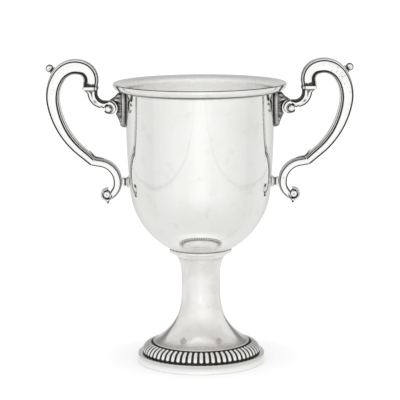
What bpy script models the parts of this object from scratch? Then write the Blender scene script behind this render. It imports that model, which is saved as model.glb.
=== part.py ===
"""A two-handled silver cup: a raised bowl on a spun pedestal, with two cast scroll handles.

The cup stands on the plane Z = 0 with its axis on Z. Its handles lie in the plane Y = 0. Each handle piece is
drawn once, on the +X side, from points and headings in that plane, and placed again half a turn round.
Lengths are in metres and angles in degrees. A heading of 0 points away from the axis and 90 points up.
"""

import math
from collections import namedtuple

import bmesh
import bpy
from mathutils import Matrix, Vector

Bend = namedtuple("Bend", "radius turn")
Run = namedtuple("Run", "length")
Station = namedtuple("Station", "point heading along")
Level = namedtuple("Level", "rise reach width")
Finish = namedtuple("Finish", "name colour roughness")

# Clearances
SEAT_GAP = 0.0003
MERGE_DISTANCE = 0.000001

# Foot band
FOOT_RADIUS = 0.0546
FOOT_BAND_HEIGHT = 0.0078
FOOT_BAND_WALL = 0.0020
FOOT_BAND_FLANGE = 0.0014
FOOT_BAND_DRAFT = 0.0004
FOOT_BAND_ROUNDING = 0.0008

# Gadroon border
GADROON_LEDGE = 0.0045
GADROON_WIDTH = 0.0084
GADROON_HEIGHT = 0.0082
GADROON_WALL = 0.0016
GADROON_RELIEF = 0.0011
GADROON_LOBES = 62
GADROON_LAND = 0.0036

# Pedestal
PEDESTAL_HEIGHT = 0.0744
PEDESTAL_WALL = 0.0012
FLANGE_MARGIN = 0.0005
FLANGE_EDGE = 0.0015
NECK_RADIUS = 0.0164
NECK_DROP = 0.0170
STEM_TOP_RADIUS = 0.0200
FOOT_FLARE_POWER = 3.8
TOP_FLARE_POWER = 2.4

# Collar between pedestal and bowl
COLLAR_RADIUS = 0.0266
COLLAR_EDGE = 0.0033
COLLAR_UNDERCUT = 0.0037
COLLAR_ROUNDING = 0.0007
COLLAR_BORE = 0.0120

# Bowl and the moulding that backs its lip
BOWL_RADIUS = 0.0607
BOWL_DEPTH = 0.0660
BOWL_WALL = 0.0012
BOWL_SPREAD = 0.0019
SPREAD_HEIGHT = 0.0420
WALL_HEIGHT = 0.0820
LIP_REACH = 0.0107
LIP_SLOPE = 20.0
LIP_BEND_SHARE = 0.262
MOULDING_DROP_SHARE = 0.570
MOULDING_BROW_SHARE = 0.495
MOULDING_LAND = 0.0001

# Section of every handle bar: its size across the cup, and the bevel between its faces and its edges
HANDLE_DEPTH = 0.0100
BEVEL_WIDTH = 0.0014
BEVEL_DEPTH = 0.0020

# Upper arm and the curl that rests in the escutcheon
CURL_REACH = 0.01465
CURL_DROP = 0.0157
CURL_RADIUS = 0.0068
CURL_WIDTH = 0.0036
CURL_TIP_WIDTH = 0.0024
CURL_TURN = 240.0
CURL_TUCK = 0.0029
CURL_TUCK_START = 100.0
CURL_TUCK_END = 180.0
ARM_RUN = 0.0028
ARM_BEND = 0.0063
ARM_RISE = 0.0025
ARM_TOP_WIDTH = 0.0108
ARM_SHOULDER_WIDTH = 0.0090
ARM_NECK_WIDTH = 0.0078
ARM_WIDTH = 0.0058
ARM_HOLLOW = 0.0008

# Escutcheon, by levels above the middle of the curl, each a share of its height, reach and width
ESCUTCHEON_HEIGHT = 0.0292
ESCUTCHEON_REACH = 0.0143
ESCUTCHEON_WIDTH = 0.0190
ESCUTCHEON_SHAPE = (
    Level(0.46, 0.50, 0.79),
    Level(0.35, 0.70, 0.95),
    Level(0.25, 1.00, 1.00),
    Level(-0.15, 0.64, 0.89),
    Level(-0.25, 0.53, 0.76),
    Level(-0.35, 0.43, 0.61),
    Level(-0.49, 0.36, 0.42),
    Level(-0.54, 0.24, 0.26),
)
ESCUTCHEON_CURL_ANGLES = (68, 45, 22, 0, -20)
ESCUTCHEON_EDGE = 0.0008
ESCUTCHEON_FLUTE = 0.0008
ESCUTCHEON_COLUMNS = 8

# Band between the arm and the scroll
BAND_PROUD = 0.0009
BAND_WIDTH = 0.0133
BAND_HEIGHT = 0.0030
BAND_DEPTH = 0.0122
BAND_ROUNDING = 0.0006

# Main scroll: the radii of its bends in order, and how far each one turns
SCROLL_WIDTH = 0.0128
SCROLL_END_WIDTH = 0.0077
SCROLL_TAPER_START = 0.3
SCROLL_CROWN = 0.0003
LEAN_RADIUS = 0.0140
HOOK_RADIUS = 0.0107
CREST_RADIUS = 0.0166
SHOULDER_RADIUS = 0.0344
GRIP_RADIUS = 0.0680
KNEE_RUN = 0.0130
LEAN_TURN = 12.5
HOOK_TURN = -78.5
CREST_TURN_TO_THUMB = -79.0
CREST_TURN_PAST_THUMB = -3.5
SHOULDER_TURN = -41.0
GRIP_TURN = -39.5

# Thumb bead
THUMB_BEAD_RADIUS = 0.0033
THUMB_SAUCER_RADIUS = 0.0035
THUMB_SAUCER_HEIGHT = 0.0009

# Tail scroll, drawn along its outer edge
KNEE_TURN = -31.0
TAIL_WIDTH = 0.0072
TAIL_THROAT_WIDTH = 0.0061
TAIL_HOLLOW = 0.0004
TAIL_RUN = 0.0060
TAIL_RADIUS = 0.0206
TAIL_TURN = 80.0
RETURN_RADIUS = 0.0160
RETURN_TURN = 70.0
THROAT_RUN = 0.0008
VOLUTE_RADIUS = 0.0052
VOLUTE_WIDTH = 0.0018
VOLUTE_TIP_WIDTH = 0.0014
VOLUTE_TURN = 215.0
THROAT_RECESS = 0.0005
NIB_LENGTH = 0.0020
NIB_HEADING = -7.0

# Beads set through the curls
BEAD_PROUD = 0.0010
BEAD_DIMPLE = 0.0006

# Strut between the tail and the bowl: two rings with a groove between them, and a plate on the wall
STRUT_PLATE_RADIUS = 0.0055
STRUT_PLATE = 0.0009
STRUT_RING_RADIUS = 0.0044
STRUT_GROOVE_RADIUS = 0.0033
STRUT_GROOVE = 0.0012

# Fineness of the facets
BODY_SEGMENTS = 44
STEM_SEGMENTS = 36
BEAD_SEGMENTS = 10
COLUMNS_PER_LOBE = 3
STATION_TURN = 15.0
STATION_LENGTH = 0.0090
SHARP_ANGLE = 35.0

BODY_SILVER = Finish("body silver", (0.83, 0.82, 0.79), 0.18)
CAST_SILVER = Finish("cast silver", (0.80, 0.79, 0.76), 0.25)
DARK_SILVER = Finish("oxidised silver", (0.45, 0.45, 0.43), 0.35)

# Heights, worked out upwards from the foot
GADROON_FLOOR = FOOT_BAND_HEIGHT + SEAT_GAP
GADROON_TOP = GADROON_FLOOR + GADROON_HEIGHT
PEDESTAL_FLOOR = GADROON_TOP + SEAT_GAP
PEDESTAL_TOP = PEDESTAL_FLOOR + PEDESTAL_HEIGHT
NECK_LEVEL = PEDESTAL_TOP - NECK_DROP
COLLAR_FLOOR = PEDESTAL_TOP + SEAT_GAP
COLLAR_TOP = COLLAR_FLOOR + COLLAR_UNDERCUT + COLLAR_EDGE
BOWL_CENTRE = COLLAR_TOP + SEAT_GAP + BOWL_DEPTH * math.sqrt(1 - (COLLAR_RADIUS / BOWL_RADIUS) ** 2)
RIM_LEVEL = BOWL_CENTRE + WALL_HEIGHT
MOULDING_FLOOR = RIM_LEVEL - LIP_REACH * MOULDING_DROP_SHARE

# Radii, worked out inwards from the foot band and outwards from the bowl, and the sizes that follow from the lip
GADROON_OUTER = FOOT_RADIUS - GADROON_LEDGE
GADROON_INNER = GADROON_OUTER - GADROON_WIDTH
GADROON_BORE = GADROON_INNER - GADROON_LAND
FLANGE_RADIUS = GADROON_INNER - FLANGE_MARGIN
WALL_RADIUS = BOWL_RADIUS + BOWL_SPREAD
LIP_RADIUS = WALL_RADIUS + LIP_REACH
LIP_BEND = LIP_REACH * LIP_BEND_SHARE
MOULDING_BROW = LIP_REACH * MOULDING_BROW_SHARE

# The chains of bends and straight runs that the handle follows
BENDS_TO_THUMB = (
    Bend(LEAN_RADIUS, LEAN_TURN),
    Bend(HOOK_RADIUS, HOOK_TURN),
    Bend(CREST_RADIUS, CREST_TURN_TO_THUMB),
)
BENDS_TO_KNEE = (
    Bend(CREST_RADIUS, CREST_TURN_PAST_THUMB),
    Bend(SHOULDER_RADIUS, SHOULDER_TURN),
    Bend(GRIP_RADIUS, GRIP_TURN),
    Run(KNEE_RUN),
)
TAIL_BENDS = (Run(TAIL_RUN), Bend(TAIL_RADIUS, TAIL_TURN))
RETURN_BENDS = (Bend(RETURN_RADIUS, RETURN_TURN), Run(THROAT_RUN))

# Places in the handles' plane, worked out from the wall and the rim moulding
CURL_CENTRE = Vector((WALL_RADIUS + CURL_REACH, MOULDING_FLOOR - CURL_DROP))
ARM_START = CURL_CENTRE + Vector((ARM_RUN + ARM_BEND, CURL_RADIUS + ARM_BEND + ARM_RISE))
BAND_CENTRE = ARM_START + Vector((BAND_WIDTH / 2 - BAND_PROUD, SEAT_GAP + BAND_HEIGHT / 2))
SCROLL_START = BAND_CENTRE + Vector((0.0, SEAT_GAP + BAND_HEIGHT / 2))


def aim(angle):
    """The unit vector at an angle."""
    return Vector((math.cos(math.radians(angle)), math.sin(math.radians(angle))))


def left_of(heading):
    return aim(heading + 90)


def ramp(share, first, last):
    return first + (last - first) * share


def taper(at, marks):
    """The value at a place, from (place, value) marks in rising order with straight lines between them."""
    if at <= marks[0][0]:
        return marks[0][1]
    for (near, value), (far, next_value) in zip(marks, marks[1:]):
        if at <= far:
            return ramp((at - near) / (far - near), value, next_value)
    return marks[-1][1]


def ellipse_arc(centre, radii, first, last, steps):
    """Points on an ellipse from the angle first to the angle last."""
    points = []
    for step in range(steps + 1):
        toward = aim(ramp(step / steps, first, last))
        points.append((centre[0] + radii[0] * toward.x, centre[1] + radii[1] * toward.y))
    return points


def flare(start, end, power, steps):
    """Points after start, up to end: the radius changes as a power of the height covered."""
    points = []
    for step in range(1, steps + 1):
        share = (step / steps) ** 0.75
        points.append((ramp(share**power, start[0], end[0]), ramp(share, start[1], end[1])))
    return points


def turned(outline, segments, closed=True):
    """A bmesh spun about Z from (radius, height) points, which end on the axis if the outline is open."""
    shape = bmesh.new()
    points = [shape.verts.new((radius, 0.0, height)) for radius, height in outline]
    pairs = list(zip(points, points[1:]))
    if closed:
        pairs.append((points[-1], points[0]))
    edges = [shape.edges.new(pair) for pair in pairs]
    bmesh.ops.spin(
        shape,
        geom=points + edges,
        cent=(0.0, 0.0, 0.0),
        axis=(0.0, 0.0, 1.0),
        angle=math.tau,
        steps=segments,
        use_merge=True,
    )
    return shape


def join_rings(shape, near, far):
    """A band of faces between two rings with the same number of points."""
    count = len(near)
    for index in range(count):
        following = (index + 1) % count
        shape.faces.new((near[index], near[following], far[following], far[index]))


def skinned(rings):
    """A bmesh with walls between each ring of points and the next, and a cap on each end."""
    shape = bmesh.new()
    loops = [[shape.verts.new(point) for point in ring] for ring in rings]
    for near, far in zip(loops, loops[1:]):
        join_rings(shape, near, far)
    shape.faces.new(loops[0])
    shape.faces.new(loops[-1])
    return shape


def silver(finish):
    """The material of a finish, made when the first piece asks for it."""
    found = bpy.data.materials.get(finish.name)
    if found:
        return found
    material = bpy.data.materials.new(finish.name)
    material.use_nodes = True
    shader = material.node_tree.nodes["Principled BSDF"]
    shader.inputs["Base Color"].default_value = (*finish.colour, 1.0)
    shader.inputs["Metallic"].default_value = 1.0
    shader.inputs["Roughness"].default_value = finish.roughness
    return material


def finished_mesh(shape, name, finish):
    """The mesh of a closed bmesh, facing out and shaded smooth but for its sharp edges."""
    bmesh.ops.remove_doubles(shape, verts=shape.verts, dist=MERGE_DISTANCE)
    bmesh.ops.recalc_face_normals(shape, faces=shape.faces)
    mesh = bpy.data.meshes.new(name)
    shape.to_mesh(mesh)
    shape.free()
    mesh.shade_smooth()
    mesh.set_sharp_from_angle(angle=math.radians(SHARP_ANGLE))
    mesh.materials.append(silver(finish))
    return mesh


def place(mesh, name, turn=0.0):
    """An object of the mesh, turned about the cup's axis."""
    made = bpy.data.objects.new(name, mesh)
    made.rotation_euler.z = math.radians(turn)
    bpy.context.scene.collection.objects.link(made)


def place_on_axis(shape, name, finish=BODY_SILVER):
    place(finished_mesh(shape, name, finish), name)


def place_on_both_sides(shape, name, finish=CAST_SILVER):
    mesh = finished_mesh(shape, name, finish)
    place(mesh, "right_" + name)
    place(mesh, "left_" + name, turn=180)


def make_foot_band():
    """An angle-section hoop: the wall that the cup stands on, and a flange inwards for the gadroons."""
    flange_radius = GADROON_OUTER - GADROON_WALL - FOOT_BAND_WALL
    flange_floor = FOOT_BAND_HEIGHT - FOOT_BAND_FLANGE
    inner_radius = FOOT_RADIUS - FOOT_BAND_WALL
    corner = (FOOT_RADIUS - FOOT_BAND_DRAFT - FOOT_BAND_ROUNDING, FOOT_BAND_HEIGHT - FOOT_BAND_ROUNDING)
    outline = ellipse_arc(corner, (FOOT_BAND_ROUNDING, FOOT_BAND_ROUNDING), 90, 0, 2)
    outline += [(FOOT_RADIUS, FOOT_BAND_ROUNDING), (FOOT_RADIUS, 0.0), (inner_radius, 0.0)]
    outline += [(inner_radius, flange_floor), (flange_radius, flange_floor), (flange_radius, FOOT_BAND_HEIGHT)]
    place_on_axis(turned(outline, BODY_SEGMENTS), "foot_band")


def lobe_ring(shape, share):
    """One level of the border's outer face, which swells over each lobe and dips between lobes."""
    toward = aim(90 * share)
    radius = GADROON_INNER + GADROON_WIDTH * toward.x
    height = GADROON_FLOOR + GADROON_HEIGHT * toward.y
    relief = GADROON_RELIEF * abs(math.sin(math.pi * share)) ** 0.25
    ring = []
    for column in range(GADROON_LOBES * COLUMNS_PER_LOBE):
        across_lobe = (column % COLUMNS_PER_LOBE) / COLUMNS_PER_LOBE
        swell = relief * math.sin(math.pi * across_lobe) ** 0.5
        around = aim(360 * column / (GADROON_LOBES * COLUMNS_PER_LOBE))
        reach = radius + swell * toward.x
        ring.append(shape.verts.new((reach * around.x, reach * around.y, height + swell * toward.y)))
    return ring


def lining_ring(shape, radius, height):
    """A plain ring behind the lobes, with one point for each of them."""
    ring = []
    for lobe in range(GADROON_LOBES):
        around = aim(360 * lobe / GADROON_LOBES)
        ring.append(shape.verts.new((radius * around.x, radius * around.y, height)))
    return ring


def join_to_lining(shape, lobes, lining):
    """The flat land between a ring of lobes and a ring of the lining."""
    for lobe in range(GADROON_LOBES):
        first = lobe * COLUMNS_PER_LOBE
        outer = [lobes[(first + column) % len(lobes)] for column in range(COLUMNS_PER_LOBE + 1)]
        shape.faces.new([*outer, lining[(lobe + 1) % GADROON_LOBES], lining[lobe]])


def make_gadroon_band():
    """A stamped border of upright lobes, hollow behind, on the foot band's flange."""
    shape = bmesh.new()
    outside = [lobe_ring(shape, share) for share in (0.0, 0.06, 0.3, 0.62, 0.93, 1.0)]
    hollow = (GADROON_WIDTH - GADROON_WALL, GADROON_HEIGHT - GADROON_WALL)
    lining = ellipse_arc((GADROON_INNER, GADROON_FLOOR), hollow, 0, 90, 3)
    lining += [(GADROON_BORE, GADROON_TOP - GADROON_WALL), (GADROON_BORE, GADROON_TOP)]
    inside = [lining_ring(shape, radius, height) for radius, height in lining]
    for rings in (outside, inside):
        for near, far in zip(rings, rings[1:]):
            join_rings(shape, near, far)
    join_to_lining(shape, outside[0], inside[0])
    join_to_lining(shape, outside[-1], inside[-1])
    place_on_axis(shape, "gadroon_band")


def make_pedestal():
    """A spun trumpet, open right through, with a wide flange below and a small flare above."""
    neck = (NECK_RADIUS, NECK_LEVEL)
    foot = flare(neck, (FLANGE_RADIUS, PEDESTAL_FLOOR + FLANGE_EDGE), FOOT_FLARE_POWER, 11)
    throat = flare(neck, (STEM_TOP_RADIUS, PEDESTAL_TOP), TOP_FLARE_POWER, 5)
    outer = [*reversed(throat), neck, *foot, (FLANGE_RADIUS, PEDESTAL_FLOOR)]
    inner_neck = (NECK_RADIUS - PEDESTAL_WALL, NECK_LEVEL)
    inner_foot = flare(inner_neck, (GADROON_BORE, PEDESTAL_FLOOR), FOOT_FLARE_POWER, 6)
    inner_throat = flare(inner_neck, (STEM_TOP_RADIUS - PEDESTAL_WALL, PEDESTAL_TOP), TOP_FLARE_POWER, 3)
    inner = [*reversed(inner_foot), inner_neck, *inner_throat]
    place_on_axis(turned(outer + inner, STEM_SEGMENTS), "pedestal")


def bowl_underside(radius):
    """The height of the bowl's round bottom at a radius."""
    return BOWL_CENTRE - BOWL_DEPTH * math.sqrt(1 - (radius / BOWL_RADIUS) ** 2)


def bowl_reach(height):
    """The radius of the bowl's round bottom at a height."""
    return BOWL_RADIUS * math.sqrt(1 - ((BOWL_CENTRE - height) / BOWL_DEPTH) ** 2)


def make_stem_collar():
    """The moulded ring under the bowl: an upright edge, a cone below it and a dish for the bowl's bottom."""
    shoulder = COLLAR_RADIUS - COLLAR_ROUNDING
    edge_floor = COLLAR_FLOOR + COLLAR_UNDERCUT
    dish_radii = [ramp(step / 4, shoulder, COLLAR_BORE) for step in range(5)]
    outline = [(radius, bowl_underside(radius) - SEAT_GAP) for radius in dish_radii]
    outline += [(COLLAR_BORE, COLLAR_FLOOR), (STEM_TOP_RADIUS, COLLAR_FLOOR), (shoulder, edge_floor)]
    outline += [(COLLAR_RADIUS, edge_floor + COLLAR_ROUNDING), (COLLAR_RADIUS, COLLAR_TOP - COLLAR_ROUNDING)]
    place_on_axis(turned(outline, STEM_SEGMENTS), "stem_collar")


def lip_underside(radius):
    """The height of the lip's underside at a radius beyond its bend."""
    thickness = BOWL_WALL / math.cos(math.radians(LIP_SLOPE))
    return RIM_LEVEL - thickness - (LIP_RADIUS - radius) * math.tan(math.radians(LIP_SLOPE))


def lip_bend_centre():
    """The middle of the bend between the bowl's wall and its lip."""
    middle = WALL_RADIUS + LIP_BEND
    tangent = aim(90 + LIP_SLOPE) * LIP_BEND
    return middle, lip_underside(middle + tangent.x) - tangent.y


def make_bowl():
    """A raised vessel: a round bottom, a wall that spreads slightly, and a wide lip turned outwards."""
    bend = lip_bend_centre()
    spread_level = BOWL_CENTRE + SPREAD_HEIGHT
    inner_bend = LIP_BEND + BOWL_WALL
    outer = ellipse_arc((0.0, BOWL_CENTRE), (BOWL_RADIUS, BOWL_DEPTH), -90, 0, 11)
    outer += [(WALL_RADIUS, spread_level)]
    outer += ellipse_arc(bend, (LIP_BEND, LIP_BEND), 180, 90 + LIP_SLOPE, 3)
    outer += [(LIP_RADIUS, lip_underside(LIP_RADIUS))]
    inner = [(LIP_RADIUS, RIM_LEVEL)]
    inner += ellipse_arc(bend, (inner_bend, inner_bend), 90 + LIP_SLOPE, 180, 3)
    inner += [(WALL_RADIUS - BOWL_WALL, spread_level)]
    inner += ellipse_arc((0.0, BOWL_CENTRE), (BOWL_RADIUS - BOWL_WALL, BOWL_DEPTH - BOWL_WALL), 0, -90, 8)
    place_on_axis(turned(outer + inner, BODY_SEGMENTS, closed=False), "bowl")


def make_rim_moulding():
    """The rounded moulding that backs the lip, seated on the lip's underside and on the wall."""
    bend = lip_bend_centre()
    seat = LIP_BEND - SEAT_GAP
    seat_end = 180 - math.degrees(math.asin((MOULDING_FLOOR - bend[1]) / seat))
    edge_top = lip_underside(LIP_RADIUS) - SEAT_GAP / math.cos(math.radians(LIP_SLOPE))
    brow_rise = edge_top - MOULDING_LAND - MOULDING_FLOOR
    brow = (LIP_RADIUS - MOULDING_BROW, MOULDING_FLOOR + brow_rise)
    outline = ellipse_arc(brow, (MOULDING_BROW, brow_rise), -90, 0, 5)
    outline += [(LIP_RADIUS, edge_top)]
    outline += ellipse_arc(bend, (seat, seat), 90 + LIP_SLOPE, seat_end, 2)
    place_on_axis(turned(outline, BODY_SEGMENTS), "rim_moulding")


def path(start, heading, pieces):
    """Stations along a chain of bends and straight runs, in which a bend with a positive turn goes left."""
    stations = [Station(Vector(start), heading, 0.0)]
    for piece in pieces:
        point, heading, along = stations[-1]
        if isinstance(piece, Run):
            stations.append(Station(point + aim(heading) * piece.length, heading, along + piece.length))
            continue
        length = piece.radius * math.radians(abs(piece.turn))
        steps = math.ceil(max(abs(piece.turn) / STATION_TURN, length / STATION_LENGTH))
        radius = math.copysign(piece.radius, piece.turn)
        centre = point + left_of(heading) * radius
        for step in range(1, steps + 1):
            turned_to = heading + piece.turn * step / steps
            place_on_arc = centre - left_of(turned_to) * radius
            stations.append(Station(place_on_arc, turned_to, along + length * step / steps))
    return stations


def bar_ring(station, left, right, hollow=0.0, slant=0.0):
    """The section of a bevelled bar at a station, between two offsets to the left of its path.

    A positive hollow dishes both faces and a negative one crowns them. The slant turns the section's plane.
    """
    across = left_of(station.heading + slant) / math.cos(math.radians(slant))
    face = HANDLE_DEPTH / 2
    edge = face - BEVEL_DEPTH
    bevel = min(BEVEL_WIDTH, (left - right) / 3)
    middle = (left + right) / 2
    half = [(right, edge), (right + bevel, face), (middle, face - hollow), (left - bevel, face), (left, edge)]
    ring = [(offset, -depth) for offset, depth in half]
    ring += [(offset, depth) for offset, depth in reversed(half)]
    points = []
    for offset, depth in ring:
        point = station.point + across * offset
        points.append(Vector((point.x, depth, point.y)))
    return points


def clear_width(station, centre, radius):
    """The width that a bar may have on the left of a station before it meets a disc or goes past its flank."""
    toward = centre - station.point
    along = toward.dot(left_of(station.heading))
    aside = abs(toward.dot(aim(station.heading)))
    if along < 0 or aside > 2 * radius:
        return math.inf
    return along - math.sqrt(max(0.0, radius * radius - aside * aside))


def curl_tuck(turned):
    """How far the curl's outer edge is drawn in towards the bead, by how far the curl has turned."""
    return taper(turned, ((CURL_TUCK_START, 0.0), (CURL_TUCK_END, CURL_TUCK)))


def make_upper_arm():
    """The arm that swings in from the band and curls up at its end, drawn along its upper edge."""
    level = (Run(ARM_RUN / 3),) * 3
    pieces = (Run(ARM_RISE / 2), Run(ARM_RISE / 2), Bend(ARM_BEND, -90), *level, Bend(CURL_RADIUS, CURL_TURN))
    stations = path(ARM_START, -90, pieces)
    bend_end = ARM_RISE + ARM_BEND * math.radians(90)
    curl_start = bend_end + ARM_RUN
    widths = (
        (0.0, ARM_TOP_WIDTH),
        (ARM_RISE / 2, ARM_SHOULDER_WIDTH),
        (ARM_RISE, ARM_NECK_WIDTH),
        (bend_end, ARM_WIDTH),
        (stations[-1].along, CURL_TIP_WIDTH),
    )
    rings = []
    for station in stations:
        clear = clear_width(station, CURL_CENTRE, CURL_RADIUS - CURL_WIDTH)
        tuck = curl_tuck(math.degrees((station.along - curl_start) / CURL_RADIUS))
        width = min(taper(station.along, widths) + tuck, clear)
        rings.append(bar_ring(station, width, tuck, ARM_HOLLOW * width / ARM_TOP_WIDTH))
    place_on_both_sides(skinned(rings), "upper_arm")


def make_bead(name, centre, radius):
    """A bead through a curl, domed and dimpled on both faces of the handle."""
    shoulder = (HANDLE_DEPTH - BEVEL_DEPTH) / 2
    rise = HANDLE_DEPTH / 2 + BEAD_PROUD - shoulder
    dome = ellipse_arc((0.0, shoulder), (radius, rise), 70, 0, 4)
    front = [(0.0, shoulder + rise - BEAD_DIMPLE), *dome]
    outline = front + [(reach, -height) for reach, height in reversed(front)]
    shape = turned(outline, BEAD_SEGMENTS, closed=False)
    stand = Matrix.Translation((centre.x, 0.0, centre.y)) @ Matrix.Rotation(math.radians(90), 4, "X")
    bmesh.ops.transform(shape, matrix=stand, verts=shape.verts)
    place_on_both_sides(shape, name)


def escutcheon_reach(level):
    """How far the escutcheon stands out from the wall at a level, cut back to hug the arm's curl."""
    clear = CURL_RADIUS + SEAT_GAP
    if abs(level.rise) >= clear:
        return level.reach
    return min(level.reach, CURL_REACH - math.sqrt(clear * clear - level.rise * level.rise))


def escutcheon_levels():
    """The escutcheon's own levels, with more of them where it is hollowed for the curl."""
    levels = [
        Level(shape.rise * ESCUTCHEON_HEIGHT, shape.reach * ESCUTCHEON_REACH, shape.width * ESCUTCHEON_WIDTH)
        for shape in sorted(ESCUTCHEON_SHAPE)
    ]
    reaches = [(level.rise, level.reach) for level in levels]
    widths = [(level.rise, level.width) for level in levels]
    for angle in ESCUTCHEON_CURL_ANGLES:
        rise = (CURL_RADIUS + SEAT_GAP) * math.sin(math.radians(angle))
        levels.append(Level(rise, taper(rise, reaches), taper(rise, widths)))
    return sorted(levels)


def escutcheon_ring(level):
    """A level section: a back that fits the wall, and a fluted front that comes forward to a nose."""
    wall = WALL_RADIUS + SEAT_GAP
    height = CURL_CENTRE.y + level.rise
    swell = escutcheon_reach(level) - SEAT_GAP - ESCUTCHEON_EDGE
    back = []
    front = []
    for column in range(ESCUTCHEON_COLUMNS + 1):
        share = 2 * column / ESCUTCHEON_COLUMNS - 1
        across = share * level.width / 2
        start = math.sqrt(wall * wall - across * across)
        flute = ESCUTCHEON_FLUTE * (column % 2)
        rise = max(0.0, swell * (1 - abs(share) ** 1.2) - flute)
        back.append(Vector((start, across, height)))
        front.append(Vector((start + ESCUTCHEON_EDGE + rise, across, height)))
    return front + back[::-1]


def make_escutcheon():
    """The fluted calyx that joins the upper arm's curl to the wall."""
    rings = [escutcheon_ring(level) for level in escutcheon_levels()]
    place_on_both_sides(skinned(rings), "escutcheon", DARK_SILVER)


def make_scroll_collar():
    """The flat band, with rounded edges, that the main scroll stands on."""
    rings = []
    for height, inset in (
        (-BAND_HEIGHT / 2, BAND_ROUNDING),
        (-BAND_HEIGHT / 4, 0.0),
        (BAND_HEIGHT / 4, 0.0),
        (BAND_HEIGHT / 2, BAND_ROUNDING),
    ):
        half_width = BAND_WIDTH / 2 - inset
        half_depth = BAND_DEPTH / 2 - inset
        corner = BEVEL_WIDTH
        quarter = [(half_width, half_depth - corner), (half_width - corner, half_depth)]
        outline = quarter + [(-x, y) for x, y in reversed(quarter)]
        outline += [(-x, -y) for x, y in outline]
        level = BAND_CENTRE.y + height
        rings.append([Vector((BAND_CENTRE.x + x, y, level)) for x, y in outline])
    place_on_both_sides(skinned(rings), "scroll_collar")


def scroll_stations():
    return path(SCROLL_START, 90, BENDS_TO_THUMB + BENDS_TO_KNEE)


def scroll_width(along):
    """The width of the main scroll, full as far as its crest and then tapering to the knee."""
    length = scroll_stations()[-1].along
    return taper(along, ((length * SCROLL_TAPER_START, SCROLL_WIDTH), (length, SCROLL_END_WIDTH)))


def make_main_scroll():
    """The C-scroll from the band, over the hand's grip, down to the knee."""
    stations = scroll_stations()
    rings = []
    for station in stations:
        half = scroll_width(station.along) / 2
        slant = KNEE_TURN / 2 if station is stations[-1] else 0.0
        rings.append(bar_ring(station, half, -half, -SCROLL_CROWN, slant))
    place_on_both_sides(skinned(rings), "main_scroll")


def make_thumb_bead():
    """The ball on the scroll's shoulder, with the saucer it sits on."""
    station = path(SCROLL_START, 90, BENDS_TO_THUMB)[-1]
    outward = left_of(station.heading)
    seat = station.point + outward * (scroll_width(station.along) / 2 + SEAT_GAP)
    middle = THUMB_BEAD_RADIUS
    low = math.degrees(math.asin(THUMB_SAUCER_HEIGHT / THUMB_BEAD_RADIUS - 1))
    outline = [(0.0, 0.0), (THUMB_SAUCER_RADIUS * 0.8, 0.0), (THUMB_SAUCER_RADIUS, THUMB_SAUCER_HEIGHT / 2)]
    outline += ellipse_arc((0.0, middle), (THUMB_BEAD_RADIUS, THUMB_BEAD_RADIUS), low, 90, 6)
    shape = turned(outline, BEAD_SEGMENTS, closed=False)
    tilt = Matrix.Rotation(math.radians(90 - math.degrees(math.atan2(outward.y, outward.x))), 4, "Y")
    stand = Matrix.Translation((seat.x, 0.0, seat.y)) @ tilt
    bmesh.ops.transform(shape, matrix=stand, verts=shape.verts)
    place_on_both_sides(shape, "thumb_bead")


def tail_start():
    """The outer corner of the tail at the knee, and the tail's heading there."""
    knee = scroll_stations()[-1]
    mitre = knee.heading + KNEE_TURN / 2
    half = TAIL_WIDTH / 2 / math.cos(math.radians(KNEE_TURN / 2))
    return knee.point + aim(mitre) * SEAT_GAP - left_of(mitre) * half, knee.heading + KNEE_TURN


def volute_centre():
    """The middle of the curl at the tail's end."""
    last = path(*tail_start(), TAIL_BENDS + RETURN_BENDS)[-1]
    return last.point + left_of(last.heading) * VOLUTE_RADIUS


def make_tail_scroll():
    """The tail that runs from the knee past the bowl and curls up around a bead."""
    stations = path(*tail_start(), TAIL_BENDS + RETURN_BENDS + (Bend(VOLUTE_RADIUS, VOLUTE_TURN),))
    return_start = path(*tail_start(), TAIL_BENDS)[-1].along
    throat = path(*tail_start(), TAIL_BENDS + RETURN_BENDS)[-1].along
    widths = (
        (return_start, TAIL_WIDTH),
        (throat, TAIL_THROAT_WIDTH),
        (throat + STATION_LENGTH, VOLUTE_WIDTH),
        (stations[-1].along, VOLUTE_TIP_WIDTH),
    )
    rings = []
    for station in stations:
        recess = THROAT_RECESS if station.along < throat else 0.0
        clear = clear_width(station, volute_centre(), VOLUTE_RADIUS - VOLUTE_WIDTH + recess)
        width = min(taper(station.along, widths), clear)
        nib = NIB_LENGTH if abs(station.heading - NIB_HEADING) < STATION_TURN / 2 else 0.0
        slant = -KNEE_TURN / 2 if station is stations[0] else 0.0
        rings.append(bar_ring(station, width, -nib, TAIL_HOLLOW * width / TAIL_WIDTH, slant))
    place_on_both_sides(skinned(rings), "tail_scroll")


def make_lower_strut():
    """The turned spool that ties the tail to the bowl."""
    tail = path(*tail_start(), TAIL_BENDS)[-1].point
    near = bowl_reach(tail.y) + SEAT_GAP
    far = tail.x - SEAT_GAP
    groove = (near + STRUT_PLATE + far - STRUT_GROOVE) / 2
    outline = [(0.0, near), (STRUT_PLATE_RADIUS, near), (STRUT_PLATE_RADIUS, near + STRUT_PLATE)]
    outline += [(STRUT_RING_RADIUS, near + STRUT_PLATE), (STRUT_RING_RADIUS, groove), (STRUT_GROOVE_RADIUS, groove)]
    outline += [(STRUT_GROOVE_RADIUS, groove + STRUT_GROOVE), (STRUT_RING_RADIUS, groove + STRUT_GROOVE)]
    outline += [(STRUT_RING_RADIUS, far), (0.0, far)]
    shape = turned(outline, BEAD_SEGMENTS, closed=False)
    stand = Matrix.Translation((0.0, 0.0, tail.y)) @ Matrix.Rotation(math.radians(90), 4, "Y")
    bmesh.ops.transform(shape, matrix=stand, verts=shape.verts)
    place_on_both_sides(shape, "lower_strut")


def clear_scene():
    for found in list(bpy.data.objects):
        bpy.data.objects.remove(found, do_unlink=True)


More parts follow.
